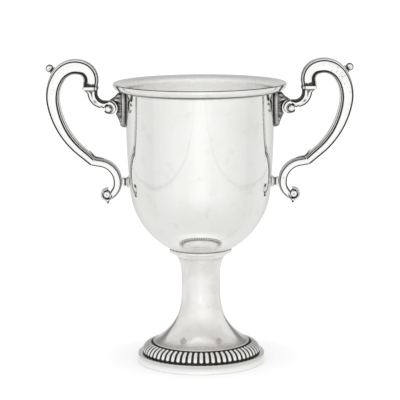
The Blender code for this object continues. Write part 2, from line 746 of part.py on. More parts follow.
def make_cup():
    make_foot_band()
    make_gadroon_band()
    make_pedestal()
    make_stem_collar()
    make_bowl()
    make_rim_moulding()
    make_escutcheon()
    make_upper_arm()
    make_bead("arm_bead", CURL_CENTRE, CURL_RADIUS - CURL_WIDTH - SEAT_GAP)
    make_scroll_collar()
    make_main_scroll()
    make_thumb_bead()
    make_tail_scroll()
    make_bead("volute_bead", volute_centre(), VOLUTE_RADIUS - VOLUTE_WIDTH - SEAT_GAP)
    make_lower_strut()


clear_scene()
make_cup()
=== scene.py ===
"""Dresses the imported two-handled cup: fine turned and cast surfaces, worn silver and a white studio.

Each piece stands for one solid and keeps its place. Handle pieces are drawn on the +X side, in the plane Y = 0,
from points and headings there, and turned half round for the other side. A heading of 0 points away from the
cup's axis and 90 points up. Lengths are in metres and angles in degrees.
"""

import math
from collections import namedtuple

import bmesh
import bpy
import numpy as np
from mathutils import Matrix, Vector


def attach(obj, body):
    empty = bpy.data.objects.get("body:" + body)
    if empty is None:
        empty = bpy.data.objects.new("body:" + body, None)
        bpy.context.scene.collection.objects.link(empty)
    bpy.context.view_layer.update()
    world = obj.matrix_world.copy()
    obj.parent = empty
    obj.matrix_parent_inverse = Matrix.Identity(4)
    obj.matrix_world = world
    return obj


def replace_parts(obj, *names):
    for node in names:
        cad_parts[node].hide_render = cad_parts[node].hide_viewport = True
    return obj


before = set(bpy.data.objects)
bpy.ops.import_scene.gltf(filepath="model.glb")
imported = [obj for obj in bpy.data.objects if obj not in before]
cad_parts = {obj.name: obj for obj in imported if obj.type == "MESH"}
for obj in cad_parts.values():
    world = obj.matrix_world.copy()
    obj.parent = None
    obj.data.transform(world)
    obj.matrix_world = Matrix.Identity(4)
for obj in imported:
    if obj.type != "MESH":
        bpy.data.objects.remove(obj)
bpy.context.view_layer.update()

BODY = "root"

Bend = namedtuple("Bend", "radius turn")
Run = namedtuple("Run", "length")
Station = namedtuple("Station", "point heading along")
Mark = namedtuple("Mark", "inset sink part")
StainAndShade = namedtuple("StainAndShade", "radius height spread strength")
Border = namedtuple("Border", "width rim line ridge side", defaults=(0.12,))
Look = namedtuple("Look", "bright warm dark roughness dark_roughness haze spun cloud_scale")

# Camera
CAMERA_PLACE = (0.0, -1.620, 0.402)
CAMERA_PITCH = 9.204
CAMERA_ROLL = 0.33
FOCAL_PIXELS = 1928.0
IMAGE_PIXELS = 400.0
SENSOR_WIDTH = 36.0
SHIFT_PIXELS = 0.354

# Body of revolution
SEAT_GAP = 0.0003
FOOT_RADIUS = 0.0546
FOOT_BAND_HEIGHT = 0.0078
FOOT_BAND_WALL = 0.0020
GADROON_LEDGE = 0.0045
GADROON_WIDTH = 0.0084
GADROON_HEIGHT = 0.0082
GADROON_RELIEF = 0.0008
GADROON_LOBES = 62
GADROON_LAND = 0.0036
PEDESTAL_HEIGHT = 0.0744
PEDESTAL_WALL = 0.0012
FLANGE_MARGIN = 0.0005
FLANGE_EDGE = 0.0015
NECK_RADIUS = 0.0164
NECK_DROP = 0.0170
STEM_TOP_RADIUS = 0.0200
FOOT_FLARE_POWER = 3.8
TOP_FLARE_POWER = 2.4
COLLAR_RADIUS = 0.0266
COLLAR_EDGE = 0.0033
COLLAR_UNDERCUT = 0.0037
COLLAR_BORE = 0.0120
BOWL_RADIUS = 0.0607
BOWL_DEPTH = 0.0660
BOWL_WALL = 0.0012
BOWL_SPREAD = 0.0019
WALL_HEIGHT = 0.0820
ROUND_TOP_DROP = 0.0250
WAIST_RADIUS = 0.0604
WAIST_SLOPE = 0.075
LIP_REACH = 0.0107
LIP_SLOPE = 20.0
LIP_BEND = 0.0028
MOULDING_DROP = 0.0061
MOULDING_BROW = 0.0053
MOULDING_LAND = 0.0001

# Handle
HANDLE_DEPTH = 0.0100
CURL_REACH = 0.01465
CURL_DROP = 0.0157
CURL_RADIUS = 0.0068
CURL_WIDTH = 0.0036
CURL_TIP_WIDTH = 0.0024
CURL_TURN = 240.0
CURL_TUCK = 0.0029
CURL_TUCK_START = 100.0
CURL_TUCK_END = 180.0
ARM_RUN = 0.0028
ARM_BEND = 0.0063
ARM_RISE = 0.0025
ARM_TOP_WIDTH = 0.0108
ARM_SHOULDER_WIDTH = 0.0090
ARM_NECK_WIDTH = 0.0078
ARM_WIDTH = 0.0058
ARM_SWELL = 0.0005
BAND_PROUD = 0.0009
BAND_WIDTH = 0.0133
BAND_HEIGHT = 0.0030
BAND_DEPTH = 0.0122
SCROLL_WIDTH = 0.01276
SCROLL_END_WIDTH = 0.0077
SCROLL_TAPER_START = 0.3
BENDS_TO_THUMB = (Bend(0.0140, 12.5), Bend(0.0107, -78.5), Bend(0.0166, -79.0))
BENDS_TO_KNEE = (Bend(0.0166, -3.5), Bend(0.0344, -41.0), Bend(0.0680, -39.5), Run(0.0130))
THUMB_BEAD_RADIUS = 0.00327
THUMB_SAUCER_RADIUS = 0.0035
THUMB_SAUCER_HEIGHT = 0.0009
KNEE_TURN = -31.0
TAIL_WIDTH = 0.0072
TAIL_THROAT_WIDTH = 0.0061
TAIL_BENDS = (Run(0.0060), Bend(0.0206, 80.0))
RETURN_BENDS = (Bend(0.0160, 70.0), Run(0.0008))
VOLUTE_RADIUS = 0.0052
VOLUTE_WIDTH = 0.0018
VOLUTE_TIP_WIDTH = 0.0014
VOLUTE_TURN = 215.0
THROAT_RECESS = 0.0005
NIB_HEADING = -7.0
VISIBLE_NIB_LENGTH = 0.0027
VISIBLE_NIB_SPREAD = 17.0
BEAD_PROUD = 0.0010
ESCUTCHEON_HEIGHT = 0.0292
ESCUTCHEON_REACH = 0.0143
ESCUTCHEON_WIDTH = 0.0190
ESCUTCHEON_EDGE = 0.0008
STRUT_PLATE_RADIUS = 0.0055
STRUT_RING_RADIUS = 0.0044
STRUT_GROOVE_RADIUS = 0.0033

# Fineness
BODY_SEGMENTS = 224
STEM_SEGMENTS = 160
BEAD_SEGMENTS = 40
LOBE_COLUMNS = 12
STATION_TURN = 3.0
STATION_LENGTH = 0.0012
SHARP_ANGLE = 32.0

# Unevenness of the hoop, of the moulding and of raised or spun sheet
HOOP_RIPPLE = 0.00002
MOULDING_RIPPLE = 0.00003
SHEET_RIPPLE = 0.00004

# The left handle's castings are less pitted than the right one's
LEFT_PIT_SHARE = 0.28

# Places that follow from the sizes
GADROON_FLOOR = FOOT_BAND_HEIGHT + SEAT_GAP
GADROON_TOP = GADROON_FLOOR + GADROON_HEIGHT
PEDESTAL_FLOOR = GADROON_TOP + SEAT_GAP
PEDESTAL_TOP = PEDESTAL_FLOOR + PEDESTAL_HEIGHT
NECK_LEVEL = PEDESTAL_TOP - NECK_DROP
COLLAR_FLOOR = PEDESTAL_TOP + SEAT_GAP
COLLAR_TOP = COLLAR_FLOOR + COLLAR_UNDERCUT + COLLAR_EDGE
BOWL_CENTRE = COLLAR_TOP + SEAT_GAP + BOWL_DEPTH * math.sqrt(1 - (COLLAR_RADIUS / BOWL_RADIUS) ** 2)
RIM_LEVEL = BOWL_CENTRE + WALL_HEIGHT
MOULDING_FLOOR = RIM_LEVEL - MOULDING_DROP
GADROON_OUTER = FOOT_RADIUS - GADROON_LEDGE
GADROON_INNER = GADROON_OUTER - GADROON_WIDTH
GADROON_BORE = GADROON_INNER - GADROON_LAND
FLANGE_RADIUS = GADROON_INNER - FLANGE_MARGIN
WALL_RADIUS = BOWL_RADIUS + BOWL_SPREAD
LIP_RADIUS = WALL_RADIUS + LIP_REACH
CURL_CENTRE = Vector((WALL_RADIUS + CURL_REACH, MOULDING_FLOOR - CURL_DROP))
ARM_START = CURL_CENTRE + Vector((ARM_RUN + ARM_BEND, CURL_RADIUS + ARM_BEND + ARM_RISE))
BAND_CENTRE = ARM_START + Vector((BAND_WIDTH / 2 - BAND_PROUD, SEAT_GAP + BAND_HEIGHT / 2))
SCROLL_START = BAND_CENTRE + Vector((0.0, SEAT_GAP + BAND_HEIGHT / 2))

# Moulded edge of a bar, from the middle of its side to its face: a side, a rim, a line, a ridge and a dark groove.
# Inset is a share of the border's width, and sink is measured from the face.
EDGE = [
    Mark(*row)
    for row in (
        (0.00, 0.0050, "side"), (0.00, 0.0021, "side"), (0.03, 0.0017, "rim"),
        (0.14, 0.0014, "rim"), (0.26, 0.0013, "rim"), (0.32, 0.0016, "line"),
        (0.42, 0.0016, "line"), (0.48, 0.0011, "ridge"), (0.60, 0.00105, "ridge"),
        (0.66, 0.0014, "groove"), (0.88, 0.0012, "groove"), (0.95, 0.0003, "groove"),
        (1.00, 0.00005, "face"),
    )
]
# The most of a bar's width that a border takes, the width from which its relief is full, and how deep dark is carved
BORDER_LIMIT = 0.42
FULL_RELIEF_WIDTH = 0.0012
BAR_CARVING = 0.0003
CALYX_CARVING = 0.0007
GROOVE_TARNISH = 1.0
FACE_EDGE_TARNISH = 0.25
FACE_SHARES = (0.02, 0.07, 0.14, 0.22, 0.30, 0.38, 0.46, 0.54, 0.62, 0.70, 0.78, 0.86, 0.93, 0.98)

BODY_LOOK = Look((0.950, 0.955, 0.940), (0.925, 0.918, 0.880), (0.12, 0.115, 0.105), 0.040, 0.45, 0.03, 1.0, 26.0)
STEM_LOOK = Look((0.955, 0.950, 0.935), (0.870, 0.840, 0.790), (0.12, 0.11, 0.10), 0.075, 0.45, 0.07, 1.0, 42.0)
CAST_LOOK = Look((1.0, 1.0, 0.995), (0.985, 0.980, 0.960), (0.055, 0.053, 0.050), 0.10, 0.5, 0.06, 0.0, 60.0)
BORDER_LOOK = Look((1.0, 1.0, 0.99), (0.97, 0.96, 0.94), (0.060, 0.058, 0.055), 0.13, 0.5, 0.05, 0.0, 60.0)
FLUTED_LOOK = Look((1.0, 0.995, 0.98), (0.90, 0.885, 0.85), (0.050, 0.048, 0.044), 0.14, 0.5, 0.08, 0.0, 90.0)

# Grain of the silver: polishing marks, pits, the zones they lie in and spun lines, and the height of their relief
POLISH_SCALE = 420.0
PIT_SCALE = 1150.0
PIT_ZONE_SCALE = 260.0
SPUN_SCALE = 1400.0
RELIEF_STRENGTH = 0.30
RELIEF_HEIGHT = 0.00012

# Where the metal is matt: its colour, how metallic it is and how much rougher
SATIN_COLOUR = (0.985, 0.98, 0.965)
SATIN_METALLIC = 0.25
SATIN_ROUGHNESS = 0.40

# Brightness of the floor and of the tent as the silver reflects them, by (1 + cosine of the angle from the front) / 2
FLOOR_LEVELS = (
    (0.00, 0.66), (0.10, 0.72), (0.20, 0.83), (0.36, 0.83), (0.47, 0.80), (0.58, 0.79), (0.68, 0.84),
    (0.77, 0.87), (0.84, 0.90), (0.90, 0.93), (0.955, 0.945), (0.975, 0.965), (0.990, 1.00), (1.00, 1.03),
)
TENT_LEVELS = (
    (0.00, 0.64), (0.02, 0.62), (0.045, 0.26), (0.075, 0.26), (0.11, 0.74),
    (0.24, 0.82), (0.50, 0.84), (0.75, 0.87), (0.90, 0.92), (1.00, 0.97),
)
OVERHEAD_LEVEL = 0.70
OVERHEAD_SPAN = (0.30, 0.97)
PLAIN_TENT_LEVEL = 0.86
FLOOR_RADIUS = 14.0
FLOOR_COLOUR = (0.80, 0.80, 0.81, 1.0)
FLOOR_GLOW = 1.13
# Distances from the axis over which the floor takes its own level, loses the foot's shade, and glows to the camera
OWN_LEVEL_SPAN = (0.03, 0.62)
FOOT_SHADE_SPAN = (0.060, 0.090)
GLOW_SPAN = (0.05, 0.14)
# The edge of a sheet of paper that lies on each side of the cup: its place, how far it bends away and where, and the
# start and the end of its line
PAPER_EDGE = 0.31
PAPER_CURVE = 0.38
PAPER_CURVE_SPAN = (-0.95, 0.25)
PAPER_LINE_START = (PAPER_EDGE, PAPER_EDGE + 0.006)
PAPER_LINE_END = (PAPER_EDGE + 0.014, PAPER_EDGE + 0.020)
PAPER_LINE_STRENGTH = 0.22
LAMP_PLACE = (0.0, -0.55, 1.6)
LAMP_TILT = 20.0
LAMP_SIZE = 1.6
LAMP_POWER = 14.0


def aim(angle):
    """The unit vector at an angle."""
    return Vector((math.cos(math.radians(angle)), math.sin(math.radians(angle))))


def left_of(heading):
    return aim(heading + 90)


def ramp(share, first, last):
    return first + (last - first) * share


def smooth(share):
    """A ramp from 0 to 1 with level ends."""
    held = min(1.0, max(0.0, share))
    return held * held * (3 - 2 * held)


def bell(at, middle, spread):
    """1 at the middle, and ever less away from it."""
    return math.exp(-(((at - middle) / spread) ** 2))


def circle(count):
    """Unit vectors at equal turns all round."""
    return [aim(360 * step / count) for step in range(count)]


def taper(at, marks):
    """The value at a place, from (place, value) marks in rising order with straight lines between them."""
    return float(np.interp(at, [place for place, _ in marks], [value for _, value in marks]))


def ellipse_arc(centre, radii, first, last, steps):
    """Points on an ellipse from the angle first to the angle last."""
    points = []
    for step in range(steps + 1):
        toward = aim(ramp(step / steps, first, last))
        points.append((centre[0] + radii[0] * toward.x, centre[1] + radii[1] * toward.y))
    return points


def straight(first, last, steps):
    """Points after first, up to last."""
    shares = [step / steps for step in range(1, steps + 1)]
    return [(ramp(share, first[0], last[0]), ramp(share, first[1], last[1])) for share in shares]


def placed(name, data):
    """A new object in the scene."""
    thing = bpy.data.objects.new(name, data)
    bpy.context.scene.collection.objects.link(thing)
    return thing


def flare(start, end, power, steps):
    """Points after start, up to end: the radius changes as a power of the height covered."""
    points = []
    for step in range(1, steps + 1):
        share = (step / steps) ** 0.75
        points.append((ramp(share**power, start[0], end[0]), ramp(share, start[1], end[1])))
    return points


def shell(name, grid, layers, wrapped, capped, material):
    """A piece skinned over a grid of points whose columns close on themselves, with values for its material."""
    rows, columns = grid.shape[:2]
    faces = []
    for row in range(rows if wrapped else rows - 1):
        near, far = row * columns, ((row + 1) % rows) * columns
        for column in range(columns):
            following = (column + 1) % columns
            faces.append((near + column, near + following, far + following, far + column))
    if capped:
        faces.append(tuple(range(columns)))
        faces.append(tuple(range((rows - 1) * columns, rows * columns)))
    mesh = bpy.data.meshes.new(name)
    mesh.from_pydata(grid.reshape(-1, 3).tolist(), [], faces)
    for label, values in layers.items():
        layer = mesh.attributes.new(label, "FLOAT", "POINT")
        layer.data.foreach_set("value", np.ascontiguousarray(values, dtype=np.float32).reshape(-1))
    shape = bmesh.new()
    shape.from_mesh(mesh)
    bmesh.ops.remove_doubles(shape, verts=shape.verts, dist=0.000001)
    bmesh.ops.recalc_face_normals(shape, faces=shape.faces)
    shape.to_mesh(mesh)
    shape.free()
    mesh.shade_smooth()
    mesh.set_sharp_from_angle(angle=math.radians(SHARP_ANGLE))
    mesh.materials.append(material)
    piece = placed(name, mesh)
    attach(piece, BODY)
    return piece


def ripple(angle, height):
    """The slight unevenness that raising and planishing leave, as a share of its greatest height."""
    waves = ((3, 21.0, 0.4), (5, -34.0, 1.9), (7, 47.0, 3.1), (11, -63.0, 5.2), (2, 88.0, 0.9))
    return sum(np.sin(turns * angle + rise * height + phase) for turns, rise, phase in waves) / len(waves)


def turned(name, replaced, outline, segments, material, stains_and_shades, unevenness=0.0, satin=None, shading=None):
    """A piece spun about Z from (radius, height) points, darkened round the stains and painted shades in its section.

    Shading gives further darkening from the angles, as a column, and the outline's points; on the bowl it is painted
    shade.
    """
    profile = np.array(outline)
    angles = np.arange(segments) * (math.tau / segments)
    radius, height = profile[:, 0], profile[:, 1]
    tarnish = np.zeros(len(profile))
    for stain_and_shade in stains_and_shades:
        distance = np.hypot(radius - stain_and_shade.radius, height - stain_and_shade.height)
        tarnish = np.maximum(tarnish, stain_and_shade.strength * np.exp(-((distance / stain_and_shade.spread) ** 2)))
    reach = radius[None, :] + unevenness * ripple(angles[:, None], height[None, :]) * (radius > 0.002)[None, :]
    across = [reach * np.cos(angles)[:, None], reach * np.sin(angles)[:, None]]
    grid = np.stack([*across, np.broadcast_to(height, reach.shape)], axis=-1)
    layers = {"tarnish": np.broadcast_to(tarnish, reach.shape)}
    if satin is not None:
        layers["satin"] = np.broadcast_to(np.array(satin), reach.shape)
    if shading is not None:
        layers["tarnish"] = np.maximum(layers["tarnish"], shading(angles[:, None], profile))
    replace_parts(shell(name, grid, layers, True, False, material), replaced)


def path(start, heading, pieces):
    """Stations along a chain of bends and straight runs, in which a bend with a positive turn goes left."""
    stations = [Station(Vector(start), heading, 0.0)]
    for piece in pieces:
        point, heading, along = stations[-1]
        if isinstance(piece, Run):
            steps = max(1, math.ceil(piece.length / STATION_LENGTH))
            for step in range(1, steps + 1):
                covered = piece.length * step / steps
                stations.append(Station(point + aim(heading) * covered, heading, along + covered))
            continue
        length = piece.radius * math.radians(abs(piece.turn))
        steps = math.ceil(max(abs(piece.turn) / STATION_TURN, length / STATION_LENGTH))
        radius = math.copysign(piece.radius, piece.turn)
        centre = point + left_of(heading) * radius
        for step in range(1, steps + 1):
            turned_to = heading + piece.turn * step / steps
            place_on_arc = centre - left_of(turned_to) * radius
            stations.append(Station(place_on_arc, turned_to, along + length * step / steps))
    return stations


def edge_points(border, limit):
    """A moulded edge from its side to the face: (inset, depth, tarnish, pits)."""
    width = min(border.width, limit)
    shallow = min(1.0, width / FULL_RELIEF_WIDTH)
    tones = {**border._asdict(), "groove": GROOVE_TARNISH, "face": FACE_EDGE_TARNISH}
    points = []
    for mark in EDGE:
        sink = mark.sink if mark.inset == 0 else mark.sink * shallow
        points.append((mark.inset * width, HANDLE_DEPTH / 2 - sink, tones[mark.part], 0.0))
    return points


def bar_section(width, right, left, crown, paint):
    """The ring of a bar's section: (offset from the right edge, depth, tarnish, pits).

    Paint gives the tarnish and the pits of the face at a share of the way from the right border to the left one.
    """
    limit = BORDER_LIMIT * width
    front = edge_points(right, limit)
    far = edge_points(left, limit)
    face_start, face_end = front[-1][0], width - far[-1][0]
    for share in FACE_SHARES:
        tarnish, pits = paint(share)
        rise = crown * (1 - (2 * share - 1) ** 2)
        depth = HANDLE_DEPTH / 2 + rise - BAR_CARVING * tarnish
        front.append((ramp(share, face_start, face_end), depth, tarnish, pits))
    front += [(width - inset, depth, tarnish, pits) for inset, depth, tarnish, pits in reversed(far)]
    ring = front[1:]
    ring += [(offset, -level, dark, pits) for offset, level, dark, pits in reversed(front[1:-1])]
    return ring + [front[0]]


def bar(stations, widths, rights, slants, crown, borders_at, paint_at):
    """Rings of a bar along stations, each with its width, the offset of its right edge and the slant of its end."""
    rings = []
    for station, width, right, slant in zip(stations, widths, rights, slants):
        across = left_of(station.heading + slant) / math.cos(math.radians(slant))
        ring = []
        section = bar_section(width, *borders_at(station), crown, lambda share: paint_at(station, share))
        for offset, depth, tarnish, pits in section:
            point = station.point + across * (right + offset)
            ring.append((point.x, depth, point.y, tarnish, pits))
        rings.append(ring)
    return rings


def both_sides(name, rings, material, replaced):
    """The piece on the +X side and its fellow, half a turn round, in place of the solids with those names.

    Rings hold x, y, z and darkening (tarnish, and painted shade on the thumb ball) for each point, and pits where the
    piece has any.
    """
    values = np.array(rings)
    pits = values[..., 4] if values.shape[2] > 4 else np.zeros(values.shape[:2])
    for side, sign in (("right", 1.0), ("left", -1.0)):
        layers = {"tarnish": values[..., 3], "pits": pits if side == "right" else pits * LEFT_PIT_SHARE}
        turned_grid = values[..., :3] * np.array((sign, sign, 1.0))
        piece = shell(f"{side}_{name}", turned_grid, layers, False, True, material)
        if replaced:
            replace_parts(piece, f"{side}_{replaced}")


def clear_width(station, centre, radius):
    """The width that a bar may have on the left of a station before it meets a disc or goes past its flank."""
    toward = centre - station.point
    along = toward.dot(left_of(station.heading))
    aside = abs(toward.dot(aim(station.heading)))
    if along < 0 or aside > 2 * radius:
        return math.inf
    return along - math.sqrt(max(0.0, radius * radius - aside * aside))


class Wire:
    """The value that leaves a node, for sums with numbers and with other wires."""

    def __init__(self, socket):
        self.socket = socket
        self.tree = socket.id_data

    def __add__(self, other):
        return number("ADD", self, other)

    def __sub__(self, other):
        return number("SUBTRACT", self, other)

    def __rsub__(self, other):
        return number("SUBTRACT", other, self)

    def __mul__(self, other):
        return number("MULTIPLY", self, other)


def fill(socket, value):
    """Leads a wire to the socket, or sets its plain value."""
    if isinstance(value, Wire):
        value.tree.links.new(value.socket, socket)
    else:
        socket.default_value = value


def made(tree, kind, inputs, output=0, **settings):
    """The wire that leaves a new node with its inputs filled."""
    node = tree.nodes.new(kind)
    for name, value in settings.items():
        setattr(node, name, value)
    for place, value in inputs.items():
        fill(node.inputs[place], value)
    return Wire(node.outputs[output])


def number(operation, *values, clamp=False):
    """The result of a Math node over values of which one at least is a wire."""
    tree = next(value.tree for value in values if isinstance(value, Wire))
    return made(tree, "ShaderNodeMath", dict(enumerate(values)), operation=operation, use_clamp=clamp)


def blended(share, first, second):
    """A colour between two colours or wires."""
    first, second = ((*value, 1.0) if isinstance(value, tuple) else value for value in (first, second))
    return made(share.tree, "ShaderNodeMix", {"Factor": share, 6: first, 7: second}, 2, data_type="RGBA")


def noise(where, scale, detail=3.0, roughness=0.55):
    inputs = {"Vector": where, "Scale": scale, "Detail": detail, "Roughness": roughness}
    return made(where.tree, "ShaderNodeTexNoise", inputs, "Fac")


def spread_out(value, low, high):
    """The value's share of the way from low to high, held between 0 and 1, with level ends."""
    inputs = {"Value": value, "From Min": low, "From Max": high}
    return made(value.tree, "ShaderNodeMapRange", inputs, "Result", interpolation_type="SMOOTHSTEP")


def attribute(tree, label):
    return made(tree, "ShaderNodeAttribute", {}, "Fac", attribute_name=label)


def apart(where):
    """The three parts of a place or a direction."""
    split = where.tree.nodes.new("ShaderNodeSeparateXYZ")
    fill(split.inputs[0], where)
    return [Wire(output) for output in split.outputs]


def from_axis(x, y):
    """The distance from the cup's axis."""
    return number("SQRT", number("POWER", x, 2.0) + number("POWER", y, 2.0))


def spun_lines(where):
    """The faint rings that a spinning tool and a polishing mop leave, by height and radius together."""
    x, y, z = apart(where)
    inputs = {"W": z + from_axis(x, y), "Scale": SPUN_SCALE, "Detail": 4.0}
    return made(where.tree, "ShaderNodeTexNoise", inputs, "Fac", noise_dimensions="1D")


def silver(name, look):
    """Silver with clouded polish, dark recesses, painted shade, pits and fine polishing marks."""
    material = bpy.data.materials.new(name)
    material.use_nodes = True
    tree = material.node_tree
    where = made(tree, "ShaderNodeTexCoord", {}, "Object")

    clouds = spread_out(noise(where, look.cloud_scale, 4.0), 0.40, 0.68)
    fine = noise(where, POLISH_SCALE, 4.0)
    smudges = spread_out(noise(where, look.cloud_scale * 3.1, 3.0), 0.56, 0.74)
    pit_grain = spread_out(noise(where, PIT_SCALE, 2.0, 0.6), 0.56, 0.64)
    pit_zones = spread_out(noise(where, PIT_ZONE_SCALE, 2.0), 0.52, 0.62)
    pits = pit_grain * pit_zones * attribute(tree, "pits")
    # Its darkening holds tarnish in hollows and joints, and painted shade on the bowl, the lip moulding, the pedestal
    # and the thumb ball.
    recess = attribute(tree, "tarnish")
    unsettled = recess * (1.15 - recess)
    dark = number("ADD", recess, (fine - 0.5) * 0.9 * unsettled, clamp=True)
    dark = number("MAXIMUM", dark, pits * 0.85)
    satin = attribute(tree, "satin")

    bright = blended(clouds, look.bright, look.warm)
    dulled = blended(smudges * 0.5, bright, tuple(0.90 * part for part in look.warm))
    dulled = blended(satin, dulled, SATIN_COLOUR)
    rough = (clouds + fine) * look.haze + (look.roughness - look.haze / 2)
    rough = rough + smudges * look.haze + satin * SATIN_ROUGHNESS
    relief = (pits + fine * -0.10) * -1.0
    if look.spun:
        relief = relief + spun_lines(where) * (0.10 * look.spun)

    bump = {"Strength": RELIEF_STRENGTH, "Distance": RELIEF_HEIGHT, "Height": relief}
    inputs = {
        "Base Color": blended(dark, dulled, look.dark),
        "Metallic": 1.0 - satin * (1.0 - SATIN_METALLIC),
        "Roughness": number("ADD", rough, dark * (look.dark_roughness - look.roughness), clamp=True),
        "Normal": made(tree, "ShaderNodeBump", bump, "Normal"),
    }
    for label, value in inputs.items():
        fill(tree.nodes["Principled BSDF"].inputs[label], value)
    return material


def make_foot_hoop(material):
    """The plain hoop: a rounded shoulder, an upright wall and a narrow standing edge."""
    flange_reach = 0.0016
    flange_gauge = 0.0014
    rounding = 0.0007
    draft = 0.0003
    toe = 0.0004
    flange_radius = GADROON_OUTER - flange_reach - FOOT_BAND_WALL
    flange_floor = FOOT_BAND_HEIGHT - flange_gauge
    inner_radius = FOOT_RADIUS - FOOT_BAND_WALL
    corner = (FOOT_RADIUS - draft - rounding, FOOT_BAND_HEIGHT - rounding)
    outline = straight((flange_radius, FOOT_BAND_HEIGHT), (corner[0], FOOT_BAND_HEIGHT), 12)
    outline += ellipse_arc(corner, (rounding, rounding), 90, 0, 8)
    outline += straight(outline[-1], (FOOT_RADIUS, 0.0009), 10)
    outline += ellipse_arc((FOOT_RADIUS - toe, toe), (toe, toe), 0, -90, 4)
    inside = (((inner_radius, 0.0), 3), ((inner_radius, flange_floor), 6), ((flange_radius, flange_floor), 4))
    for end, steps in inside:
        outline += straight(outline[-1], end, steps)
    stains_and_shades = (
        StainAndShade(GADROON_OUTER, FOOT_BAND_HEIGHT, 0.0009, 1.0),
        StainAndShade(GADROON_OUTER - 0.0015, FOOT_BAND_HEIGHT, 0.0010, 1.0),
        StainAndShade(FOOT_RADIUS, 0.0, 0.0006, 0.35),
        StainAndShade(inner_radius, flange_floor, 0.0016, 0.8),
    )
    turned("foot_hoop", "foot_band", outline, BODY_SEGMENTS, material, stains_and_shades, HOOP_RIPPLE)


def lobe_swell(share, across):
    """How far a lobe stands out, from 0 to 1, at a share of the way up and across its pitch."""
    half_width = 0.36
    end = 0.12
    toward_end = max(0.0, end - share, share - (1 - end)) / end
    aside = abs(across - 0.5) / half_width
    left = 1 - aside * aside - toward_end * toward_end
    return math.sqrt(left) if left > 0 else 0.0


def make_gadroon_border(material):
    """Upright lobes with round ends, standing in a dark cove."""
    levels = [0.0, 0.03, 0.06] + [0.06 + 0.88 * step / 22 for step in range(1, 23)] + [0.97, 1.0]
    turns = circle(GADROON_LOBES * LOBE_COLUMNS)
    cove = 0.0007
    gauge = 0.0024
    rings = []
    for share in levels:
        toward = aim(90 * share)
        radius = GADROON_INNER + GADROON_WIDTH * toward.x
        height = GADROON_FLOOR + GADROON_HEIGHT * toward.y
        dip = cove * smooth(min(share, 1 - share) / 0.06)
        along_lobe = (share - 0.03) / 0.92
        ring = []
        for column, around in enumerate(turns):
            swell = lobe_swell(along_lobe, (column % LOBE_COLUMNS) / LOBE_COLUMNS)
            out = (GADROON_RELIEF + cove) * swell - dip
            reach = radius + out * toward.x
            aside = (around.x * around.x) ** 3
            dark = 1.0 - smooth((swell - 0.34 - 0.22 * aside) / (0.40 + 0.10 * aside))
            ring.append((reach * around.x, reach * around.y, height + out * toward.y, dark))
        rings.append(ring)
    lining = ellipse_arc((GADROON_INNER, GADROON_FLOOR), (GADROON_WIDTH - gauge, GADROON_HEIGHT - gauge), 90, 0, 8)
    lining = [(GADROON_BORE, GADROON_TOP), (GADROON_BORE, GADROON_TOP - 0.0016), *lining]
    for radius, height in lining:
        rings.append([(radius * around.x, radius * around.y, height, 0.75) for around in turns])
    values = np.array(rings)
    layers = {"tarnish": values[..., 3]}
    piece = shell("gadroon_border", values[..., :3], layers, True, False, material)
    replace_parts(piece, "gadroon_band")


def make_spun_pedestal(material):
    """The trumpet: a rolled flange edge, the long flare, the neck and the small flare above."""
    neck = (NECK_RADIUS, NECK_LEVEL)
    rolled = 0.0004
    edge_middle = (FLANGE_RADIUS - rolled, PEDESTAL_FLOOR + FLANGE_EDGE / 2)
    edge = ellipse_arc(edge_middle, (rolled, FLANGE_EDGE / 2), 90, -90, 8)
    foot = flare(neck, (FLANGE_RADIUS - rolled, PEDESTAL_FLOOR + FLANGE_EDGE), FOOT_FLARE_POWER, 70)
    throat = flare(neck, (STEM_TOP_RADIUS, PEDESTAL_TOP), TOP_FLARE_POWER, 24)
    outer = [*reversed(throat), neck, *foot, *edge[1:]]
    inner_neck = (NECK_RADIUS - PEDESTAL_WALL, NECK_LEVEL)
    inner_foot = flare(inner_neck, (GADROON_BORE, PEDESTAL_FLOOR), FOOT_FLARE_POWER, 30)
    inner_throat = flare(inner_neck, (STEM_TOP_RADIUS - PEDESTAL_WALL, PEDESTAL_TOP), TOP_FLARE_POWER, 10)
    outline = outer + [*reversed(inner_foot), inner_neck, *inner_throat]
    stains_and_shades = (
        # At the stem's top, a dark joint line and, broader, painted shadow under the collar.
        StainAndShade(STEM_TOP_RADIUS, PEDESTAL_TOP, 0.0010, 0.30),
        StainAndShade(STEM_TOP_RADIUS, PEDESTAL_TOP, 0.0030, 0.10),
        StainAndShade(FLANGE_RADIUS, PEDESTAL_FLOOR, 0.0003, 0.9),
        StainAndShade(FLANGE_RADIUS - 0.0012, PEDESTAL_FLOOR + FLANGE_EDGE, 0.0004, 0.30),
        StainAndShade(GADROON_BORE, PEDESTAL_FLOOR, 0.0040, 0.6),
    )
    turned("spun_pedestal", "pedestal", outline, STEM_SEGMENTS, material, stains_and_shades, SHEET_RIPPLE)


def bowl_underside(radius):
    """The height of the bowl's round bottom at a radius."""
    return BOWL_CENTRE - BOWL_DEPTH * math.sqrt(1 - (radius / BOWL_RADIUS) ** 2)


